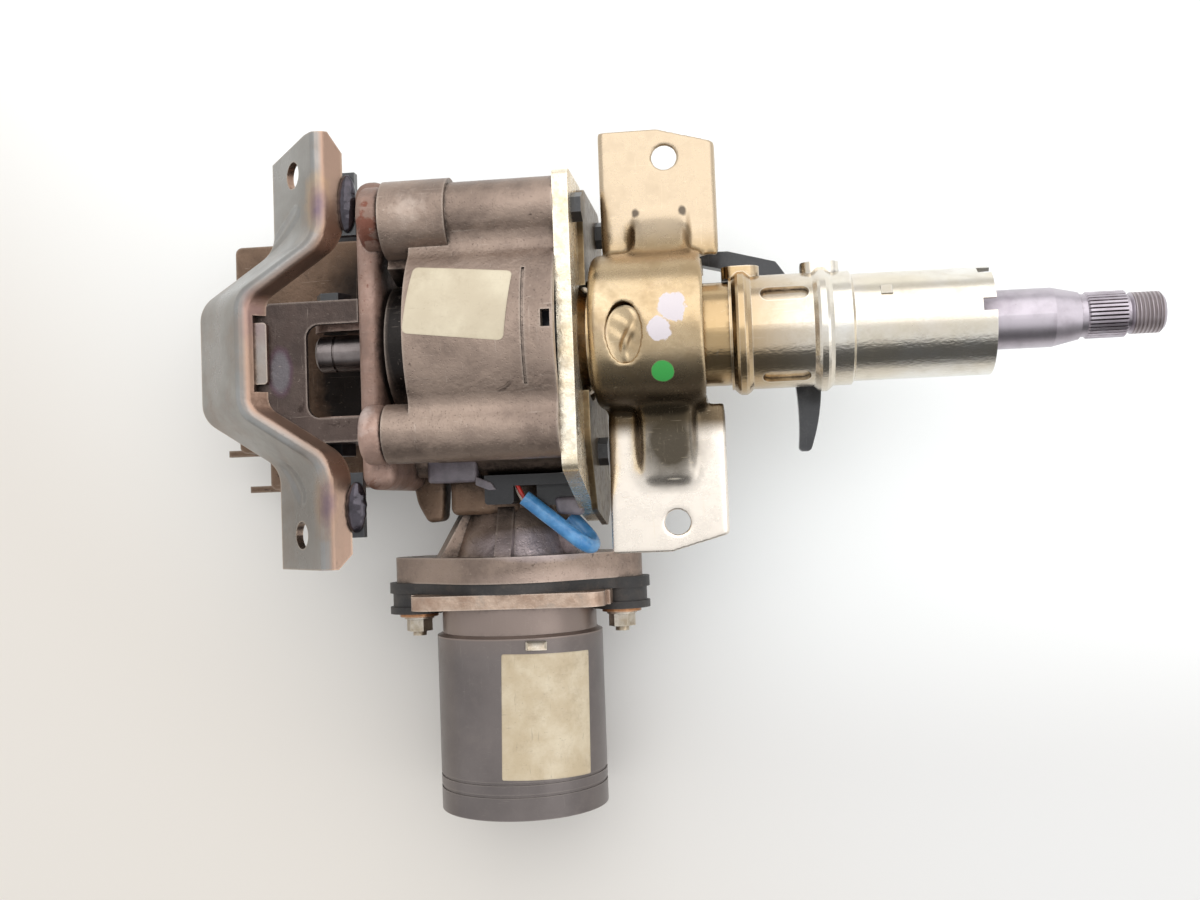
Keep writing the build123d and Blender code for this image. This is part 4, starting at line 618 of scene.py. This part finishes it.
def strapSteel(name, look):
    # bare pressed steel: grey on the faces, bronze on the lip, blue and purple where it was heated, painted shade
    # by the lower dent
    material, tree, shader = startMaterial(name, metallic=0.9)
    broad = useGroup(tree, "blotches", Scale=22.0, Low=0.36, High=0.66)
    warm = useGroup(tree, "blotches", Scale=45.0, Low=0.45, High=0.65)
    dark = useGroup(tree, "blotches", Scale=130.0, Low=0.6, High=0.72, Roughness=0.75)
    normal = addNode(tree, "ShaderNodeNewGeometry").outputs["Normal"]
    parts = addNode(tree, "ShaderNodeSeparateXYZ", {0: normal})
    tone = mixColor(tree, broad, look["grey"], look["shade"])
    tone = mixColor(tree, ramp(tree, parts.outputs["X"], -0.1, 0.45), tone, look["lip"])
    tone = cover(tree, tone, warm, 0.25, look["warm"])
    tone = addPatches(tree, tone, look["heatTintAndShade"])
    tone = cover(tree, tone, dark, 0.35, look["speck"])
    tone = cover(tree, tone, useGroup(tree, "edges", Radius=0.0012), 0.4, look["edge"])
    tone = mixColor(tree, useGroup(tree, "grimeAndShade", Reach=0.004, Amount=0.85), tone, look["grimeAndShade"])
    setSurface(tree, shader, tone, broad, look["rough"])
    skin = relief(tree, shader, broad, 0.0008, 0.2)
    for start, end, width, depth in look["folds"]:
        fold = useGroup(tree, "crease", From=placeOf(*start), To=placeOf(*end), Width=width * mm)
        skin = relief(tree, shader, fold, depth, 1.0, skin)
    height = useGroup(tree, "pits", "Height", Scale=900.0, Size=0.2, Grain=0.5)
    relief(tree, shader, height, 0.00012, 0.35, skin)
    return material


finishes["strapSteel"] = strapSteel("strapSteel", strapLook)

finishNodes = {
    "strapSteel": ("lower_bracket",),
    "shadedChannelSteel": ("channel_bracket",),
    "blackPaint": ("ear_backing_plates", "pivot_bolts", "housing_bolts", "tilt_lever", "ecu_screws"),
    "zincBracket": ("upper_bracket", "clamp_side_plates"),
    "rustyCasting": ("pivot_casting",),
    "blackRubber": ("shaft_seal", "rubber_damper", "coupling"),
    "castAluminium": ("gear_housing", "bearing_carrier"),
    "zincPlate": ("jacket_plate",),
    "zincBacking": ("backing_plate",),
    "zincTube": ("lower_jacket", "upper_jacket", "jacket_bracket", "clamp_bolt", "clamp_nut", "clamp_cam"),
    "bearingSteel": (
        "output_bearing_outers", "input_bearing_outer", "upper_bearing_outer", "worm_bearing_outers",
        "motor_bearing_outers", "output_bearing_inners", "input_bearing_inner", "upper_bearing_inner",
        "worm_bearing_inners", "motor_bearing_inners", "sensor_rotor", "sensor_sleeve"),
    "blackPlastic": ("sensor_coil", "sensor_connector", "brush_carrier", "ecu_sockets"),
    "redLead": ("lead_wires",),
    "blueSleeve": ("lead_sleeve",),
    "motorPlateSteel": ("motor_plate",),
    "motorPaint": ("motor_can",),
    "studZinc": ("motor_studs", "motor_nuts"),
    "darkMagnet": ("motor_magnets", "armature"),
    "turnedAcross": ("motor_shaft", "worm"),
    "copperBars": ("commutator",),
    "nylon": ("worm_wheel",),
    "turnedShaft": ("wheel_hub", "torsion_bar", "input_shaft", "wheel_shaft"),
    "shadedOutputSteel": ("output_shaft",),
    "unitCasting": ("ecu_housing", "ecu_cover"),
    "boardGreen": ("ecu_board",),
}

nodeFinish = {node: finish for finish, nodes in finishNodes.items() for node in nodes}
for nodeName, cadObject in cadNodes.items():
    material = finishes[nodeFinish[nodeName]]
    for slot in cadObject.material_slots:
        slot.material = material
    if not cadObject.material_slots:
        cadObject.data.materials.append(material)
print("finishes placed:", len(finishes))

bodyOfNode = {node: body for body, nodes in frame["record"]["behaviour"]["bodies"].items() for node in nodes}


def addObject(name, data):
    made = bpy.data.objects.new(name, data)
    bpy.context.collection.objects.link(made)
    return made


# the sensor's lead: two wires from the plug into a blue sleeve, which goes back under the housing
sensorLead = {
    "sleeve": ((-62.9, -61.8, -9.2), (-60.6, -63.7, -9.5), (-58.4, -65.6, -9.8), (-56.1, -67.6, -10.1),
               (-53.8, -69.5, -10.4), (-51.5, -71.4, -10.7), (-49.3, -73.3, -11.1), (-47, -75.3, -11.4),
               (-44.7, -77.2, -11.7), (-42.4, -79.1, -12), (-40.2, -81, -12.4), (-38.1, -82.4, -13.9),
               (-36.7, -82.9, -16.5), (-36.4, -82.3, -19.4), (-37, -81.1, -22.1), (-38.2, -79.3, -24.1),
               (-40.1, -77.1, -24.7), (-42.1, -74.8, -25), (-44.1, -72.6, -25.3), (-46.1, -70.4, -25.5)),
    "sleeveR": 3.2, "length": 0.0563,
    "redWire": ((-65.6, -56.4, -8.6), (-64.6, -59.0, -8.3), (-62.4, -62.6, -9.0)),
    "whiteWire": ((-66.3, -56.6, -10.4), (-65.6, -60.0, -10.0), (-63.4, -62.8, -9.8)), "wireR": 0.9,
}


def softTube(name, route, radius, finish, carrier):
    data = bpy.data.curves.new(name, "CURVE")
    data.dimensions, data.use_fill_caps = "3D", True
    data.bevel_depth, data.bevel_resolution, data.resolution_u = radius * mm, 6, 16
    spline = data.splines.new("NURBS")
    spline.points.add(len(route) - 1)
    for point, place in zip(spline.points, route):
        point.co = (*placeOf(*place), 1)
    spline.order_u, spline.use_endpoint_u = min(4, len(route)), True
    data.materials.append(finishes[finish])
    tube = addObject(name, data)
    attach(tube, bodyOfNode[carrier])
    return tube


redWire = softTube("lead_wire_red", sensorLead["redWire"], sensorLead["wireR"], "redLead", "lead_wires")
whiteWire = softTube("lead_wire_white", sensorLead["whiteWire"], sensorLead["wireR"], "whiteLead", "lead_wires")
blueSleeve = softTube("lead_sleeve_blue", sensorLead["sleeve"], sensorLead["sleeveR"], "blueSleeve", "lead_sleeve")
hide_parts("lead_wires")
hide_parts("lead_wires")
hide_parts("lead_sleeve")
print("lead placed")


def newPiece(name, mesh, finish, carrier, crease=40):
    # turns a bmesh into a piece that moves with the node that carries it
    bmesh.ops.remove_doubles(mesh, verts=mesh.verts[:], dist=1e-7)
    bmesh.ops.recalc_face_normals(mesh, faces=mesh.faces[:])
    data = bpy.data.meshes.new(name)
    mesh.to_mesh(data)
    mesh.free()
    data.shade_smooth()
    data.set_sharp_from_angle(angle=math.radians(crease))
    data.materials.append(finishes[finish])
    piece = addObject(name, data)
    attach(piece, bodyOfNode[carrier])
    return piece


def raiseFaces(mesh, faces, height):
    made = bmesh.ops.extrude_face_region(mesh, geom=faces)
    moved = [item for item in made["geom"] if isinstance(item, bmesh.types.BMVert)]
    bmesh.ops.translate(mesh, vec=(0, 0, height), verts=moved)


def wrappedSheet(look):
    # a flat sheet with round corners, wrapped on a cylinder: length along its axis, width round it
    mesh = bmesh.new()
    bmesh.ops.create_grid(mesh, x_segments=1, y_segments=1, size=0.5)
    bmesh.ops.scale(mesh, vec=(look["length"] * mm, look["width"] * mm, 1), verts=mesh.verts[:])
    bmesh.ops.bevel(mesh, geom=mesh.verts[:], offset=look["corner"] * mm, affect="VERTICES", segments=6,
                    profile=0.5, material=-1)
    raiseFaces(mesh, mesh.faces[:], look["thick"] * mm)
    if "recess" in look:
        mesh.faces.ensure_lookup_table()
        top = max(mesh.faces, key=lambda face: face.calc_center_median().z)
        bmesh.ops.inset_region(mesh, faces=[top], thickness=look["recess"] * mm, depth=-look["sunk"] * mm)
    bmesh.ops.rotate(mesh, cent=(0, 0, 0), matrix=Matrix.Rotation(math.radians(look["turn"]), 3, "Z"),
                     verts=mesh.verts[:])
    centreX, centreY = look["centre"]
    bmesh.ops.translate(mesh, vec=(centreX * mm, centreY * mm, 0), verts=mesh.verts[:])
    cuts = 28  # lines along which the sheet bends
    for step in range(cuts):
        line = (centreY + (step / (cuts - 1) - 0.5) * look["width"] * 1.1) * mm
        bmesh.ops.bisect_plane(mesh, geom=mesh.verts[:] + mesh.edges[:] + mesh.faces[:], plane_co=(0, line, 0),
                               plane_no=(0, 1, 0))
    radius = (look["radius"] + look["lift"]) * mm
    for vert in mesh.verts:
        along, arc, high = vert.co
        turn = arc / radius
        across, up = (radius + high) * math.sin(turn), (radius + high) * math.cos(turn)
        if look["axis"] == "X":
            vert.co = (along, across, columnZ + up)
        else:
            vert.co = (motorX + across, along, motorZ + up)
    return mesh


# the places of the two stickers are left bare
sheets = {
    "housing_sticker": {
        "axis": "X", "radius": 46.0, "centre": (-76.6, 12.1), "length": 38.6, "width": 28.0, "turn": -6.9,
        "corner": 2.2, "lift": 0.04, "thick": 0.1, "finish": "housingSticker", "carrier": "gear_housing"},
    "motor_sticker": {
        "axis": "Y", "radius": 36.0, "centre": (-151.8, 17.95), "length": 51.2, "width": 40.6, "turn": 1.6,
        "corner": 0.8, "lift": 0.04, "thick": 0.1, "finish": "motorSticker", "carrier": "motor_can"},
    "motor_clip": {
        "axis": "Y", "radius": 36.0, "centre": (-122.7, 12.6), "length": 3.8, "width": 8.6, "turn": 2,
        "corner": 0.6, "lift": -0.3, "thick": 1.3, "recess": 0.9, "sunk": 0.63, "finish": "studZinc",
        "carrier": "motor_can"},
}
for name, look in sheets.items():
    newPiece(name, wrappedSheet(look), look["finish"], look["carrier"])
print("stickers placed")


def block(look):
    # a cast or moulded block: an outline in plan, raised and rounded
    mesh = bmesh.new()
    foot = mesh.faces.new([mesh.verts.new(placeOf(x, y, look["low"])) for x, y in look["outline"]])
    raiseFaces(mesh, [foot], (look["high"] - look["low"]) * mm)
    bmesh.ops.bevel(mesh, geom=mesh.edges[:], offset=look["rounding"] * mm, affect="EDGES", segments=4,
                    profile=0.5, material=-1)
    return mesh


def rectangle(x0, x1, y0, y1):
    return ((x0, y0), (x1, y0), (x1, y1), (x0, y1))


underside = {
    "cover_arm": {
        "outline": ((-115, -47), (-99, -47), (-99.8, -58), (-101, -70.3), (-107.5, -71.2), (-112, -63)),
        "low": -38, "high": -24, "rounding": 2.2, "finish": "unitCasting", "carrier": "gear_housing"},
    "cover_block": {
        "outline": rectangle(-102.5, -82, -54.6, -44), "low": -20, "high": -6, "rounding": 1.4,
        "finish": "greyPlastic", "carrier": "gear_housing"},
    "cover_tab": {
        "outline": ((-82.5, -52.5), (-76, -55.2), (-74, -58.2), (-77, -58.4), (-82.5, -56)),
        "low": -9, "high": -6, "rounding": 0.4, "finish": "greyPlastic", "carrier": "gear_housing"},
    "worm_boss": {
        "outline": rectangle(-97, -67.5, -68.3, -52), "low": -40, "high": -21.5, "rounding": 3.0,
        "finish": "unitCasting", "carrier": "gear_housing"},
    "plug_shoulder": {
        "outline": ((-51, -62), (-40.5, -62), (-37.6, -65), (-39.5, -70), (-50, -69)),
        "low": -24, "high": -11, "rounding": 1.8, "finish": "greyPlastic", "carrier": "sensor_connector"},
}
for name, look in underside.items():
    newPiece(name, block(look), look["finish"], look["carrier"])


def weldBead(look):
    # a long drop of weld metal with the ripples of its laying
    mesh = bmesh.new()
    bmesh.ops.create_uvsphere(mesh, u_segments=28, v_segments=40, radius=1.0)
    bmesh.ops.rotate(mesh, cent=(0, 0, 0), matrix=Matrix.Rotation(math.radians(90), 3, "X"), verts=mesh.verts[:])
    for vert in mesh.verts:
        ripple = 1 + look["swell"] * math.sin(vert.co.y * look["ripples"] * math.pi) * (1 - vert.co.y ** 2)
        lean = look["lean"] * vert.co.y
        vert.co = placeOf(look["centre"][0] + vert.co.x * look["half"][0] * ripple + lean,
                          look["centre"][1] + vert.co.y * look["half"][1],
                          look["centre"][2] + vert.co.z * look["half"][2] * ripple)
    return mesh


weldBeads = {
    "ear_weld_upper": {
        "centre": (-127.6, 59.2, 12.2), "half": (3.9, 11.8, 3.0), "ripples": 6, "swell": 0.035, "lean": 0.3},
    "ear_weld_lower": {
        "centre": (-127.2, -63.4, 12.2), "half": (4.2, 10.2, 3.0), "ripples": 5, "swell": 0.035, "lean": 0.3},
}
for name, look in weldBeads.items():
    newPiece(name, weldBead(look), "weldMetal", "ear_backing_plates", 80)

# a crumpled pressing that closes the oval hole of the saddle
ovalPressing = {"centre": (-15.4, -2.0), "half": (7.6, 11.2), "saddleY": 3.0, "saddleR": 31.0, "sink": 1.4,
                "depth": 1.9, "deepest": 2.2, "thick": 0.4}


def crumpledPressing(look):
    mesh = bmesh.new()
    bmesh.ops.create_grid(mesh, x_segments=30, y_segments=44, size=1.0)
    for vert in mesh.verts:
        u, v = vert.co.x, vert.co.y
        across, along = u * math.sqrt(1 - v * v / 2), v * math.sqrt(1 - u * u / 2)  # square to disc
        x = look["centre"][0] + across * look["half"][0]
        y = look["centre"][1] + along * look["half"][1]
        top = math.sqrt(look["saddleR"] ** 2 - (y - look["saddleY"]) ** 2)
        inside = max(0.0, 1 - across ** 2 - along ** 2)
        fold = math.exp(-((across - 0.15 - 0.3 * math.sin(along * 3)) / 0.22) ** 2)
        creases = 0.35 * math.sin(across * 7 + along * 4) * math.sin(along * 6 - across * 2)
        sunk = look["sink"] + look["depth"] * inside ** 0.6 - inside * (1.5 * fold + creases)
        vert.co = placeOf(x, y, top - min(sunk, look["sink"] + look["deepest"]))
    bmesh.ops.solidify(mesh, geom=mesh.faces[:], thickness=look["thick"] * mm)
    return mesh


newPiece("oval_pressing", crumpledPressing(ovalPressing), "zincBracket", "upper_bracket", 60)
print("small pieces placed")

# the saddle again as pressed sheet: its heels and ribs flow into the ears
saddleLook = {
    "voxel": 0.8, "rounds": 5, "heelRounds": 46,
    # where the softening begins, is full, fades and ends: off the column's axis, and along it
    "off": (19, 30, 52, 64), "along": (-29.5, -25, 14, 19.5),
}


def rise(value, low, high):
    return min(1.0, max(0.0, (value - low) / (high - low)))


def within(share, value, start, full, fading, end):
    return share * rise(value, start, full) * (1 - rise(value, fading, end))


def pressedSaddle(look):
    copied = bmesh.new()
    copied.from_mesh(cadNodes["upper_bracket"].data)
    bmesh.ops.remove_doubles(copied, verts=copied.verts[:], dist=1e-6)
    data = bpy.data.meshes.new("saddle_sheet")
    copied.to_mesh(data)
    copied.free()
    sheet = addObject("saddle_sheet", data)
    remesh = sheet.modifiers.new("sheet", "REMESH")
    remesh.mode, remesh.voxel_size = "VOXEL", look["voxel"] * mm
    evaluated = sheet.evaluated_get(bpy.context.evaluated_depsgraph_get())
    mesh = bmesh.new()
    mesh.from_mesh(evaluated.to_mesh())
    evaluated.to_mesh_clear()
    bpy.data.objects.remove(sheet)

    softness = {}
    for vert in mesh.verts:
        share = within(1.0, abs(vert.co.y) / mm, *look["off"])
        softness[vert] = within(share, vert.co.x / mm, *look["along"])
    for step in range(look["heelRounds"]):
        level = step / look["heelRounds"]
        verts = mesh.verts[:] if step < look["rounds"] else [v for v in mesh.verts if softness[v] > level]
        bmesh.ops.smooth_vert(mesh, verts=verts, factor=0.5, use_axis_x=True, use_axis_y=True, use_axis_z=True)
    return mesh


saddle = newPiece("upper_saddle", pressedSaddle(saddleLook), "zincBracket", "upper_bracket", 180)
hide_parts("upper_bracket")
print("saddle pressed:", len(saddle.data.polygons), "faces")

# the pale floor, the light and the camera of the photograph
studio = {
    "floorDrop": 1.5 * mm, "floorSize": 3.0, "floorColor": (0.88, 0.89, 0.88, 1.0), "floorGlow": 0.12,
    # the floor's zones are painted shade: darker towards the bottom and the bottom left, and dark further off
    # towards -Y, which the tube's lower side reflects
    "floorRough": 0.7, "floorShadeZones": (  # along, low, high, colour
        ((0, -1, 0), 0.05, 0.2, (0.66, 0.65, 0.635, 1.0)),
        ((-0.75, -0.66, 0), 0.02, 0.3, (0.64, 0.60, 0.55, 1.0)),
        ((0, -1, 0), 0.24, 0.4, (0.3, 0.3, 0.3, 1.0)),
    ),
    "keyLight": {"place": (0.2, 0.85, 1.15), "size": 2.0, "power": 15.0},
    "fillLight": {"place": (1.2, -0.2, 0.9), "size": 1.0, "power": 3.0},
    "lightTarget": (-0.02, -0.03, 0.0),
    "sky": (0.96, 0.975, 0.99, 1.0), "skyPower": 1.0,
    # along Y of the sky: from, to, and the light at each
    "wall": (-0.8, -0.54, 0.11, 1.0), "farSide": (0.45, 0.85, 1.0, 0.85),
}
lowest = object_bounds()[0][2]
bpy.ops.mesh.primitive_grid_add(x_subdivisions=4, y_subdivisions=4, size=studio["floorSize"],
                                location=(0, 0, lowest - studio["floorDrop"]))
floor = bpy.context.object
floor.name = "paleFloor"
floorMaterial, floorTree, floorShader = startMaterial("paleFloor", specular=0.2)
floorTone = studio["floorColor"]
for along, low, high, color in studio["floorShadeZones"]:
    floorTone = mixColor(floorTree, useGroup(floorTree, "band", Along=along, Low=low, High=high), floorTone, color)
floorTree.links.new(floorTone, floorShader.inputs["Base Color"])
floorTree.links.new(floorTone, floorShader.inputs["Emission Color"])
floorShader.inputs["Roughness"].default_value = studio["floorRough"]
floorShader.inputs["Emission Strength"].default_value = studio["floorGlow"]
floor.data.materials.append(floorMaterial)


def addLight(name, place, size, power):
    data = bpy.data.lights.new(name, "AREA")
    data.size, data.energy = size, power
    light = addObject(name, data)
    light.location = place
    light.rotation_euler = (Vector(studio["lightTarget"]) - Vector(place)).to_track_quat("-Z", "Y").to_euler()


for name in ("keyLight", "fillLight"):
    addLight(name, **studio[name])

world = bpy.data.worlds.new("studioSky")
bpy.context.scene.world = world
world.use_nodes = True
worldTree = world.node_tree
background = worldTree.nodes["Background"]
direction = addNode(worldTree, "ShaderNodeTexCoord").outputs["Generated"]
across = addNode(worldTree, "ShaderNodeSeparateXYZ", {0: direction}).outputs["Y"]
# a bright ceiling, paler towards the far side, and an unlit wall on the near side
wall = ramp(worldTree, across, *studio["wall"], kind="SMOOTHSTEP")
farSide = ramp(worldTree, across, *studio["farSide"], kind="SMOOTHSTEP")
skyPower = mathOf(worldTree, "MULTIPLY", mathOf(worldTree, "MULTIPLY", wall, farSide), studio["skyPower"])
background.inputs["Color"].default_value = studio["sky"]
worldTree.links.new(skyPower, background.inputs["Strength"])

cameraView = {"place": (26.9, -65.9, 497.8), "lens": 37.5, "sensor": 36.0, "clip": (0.01, 20.0),
              "columnTilt": 6.5, "columnTurn": 2.4, "roll": 2.5, "rounds": 20}


def cameraAxes(view):
    # the column's direction in the picture, and the motor's, give the camera's three axes
    tilt, turn = math.radians(view["columnTilt"]), math.radians(view["columnTurn"])
    along = Vector((math.cos(tilt) * math.cos(turn), math.cos(tilt) * math.sin(turn), math.sin(tilt)))
    depth = math.sin(math.radians(view["roll"]))
    down = 0.99  # settles within the rounds below
    for step in range(view["rounds"]):
        side = (along.y * down - along.z * depth) / along.x
        down = math.sqrt(1 - depth * depth - side * side)
    across = -Vector((side, -down, depth))
    return Matrix((along, across, along.cross(across)))


cameraData = bpy.data.cameras.new("photoCamera")
cameraData.sensor_width, cameraData.lens = cameraView["sensor"], cameraView["lens"]
cameraData.clip_start, cameraData.clip_end = cameraView["clip"]
camera = addObject("photoCamera", cameraData)
camera.matrix_world = Matrix.Translation(placeOf(*cameraView["place"])) @ cameraAxes(cameraView).to_4x4()
bpy.context.scene.camera = camera
bpy.context.scene.view_settings.view_transform = "Standard"
print("camera placed")
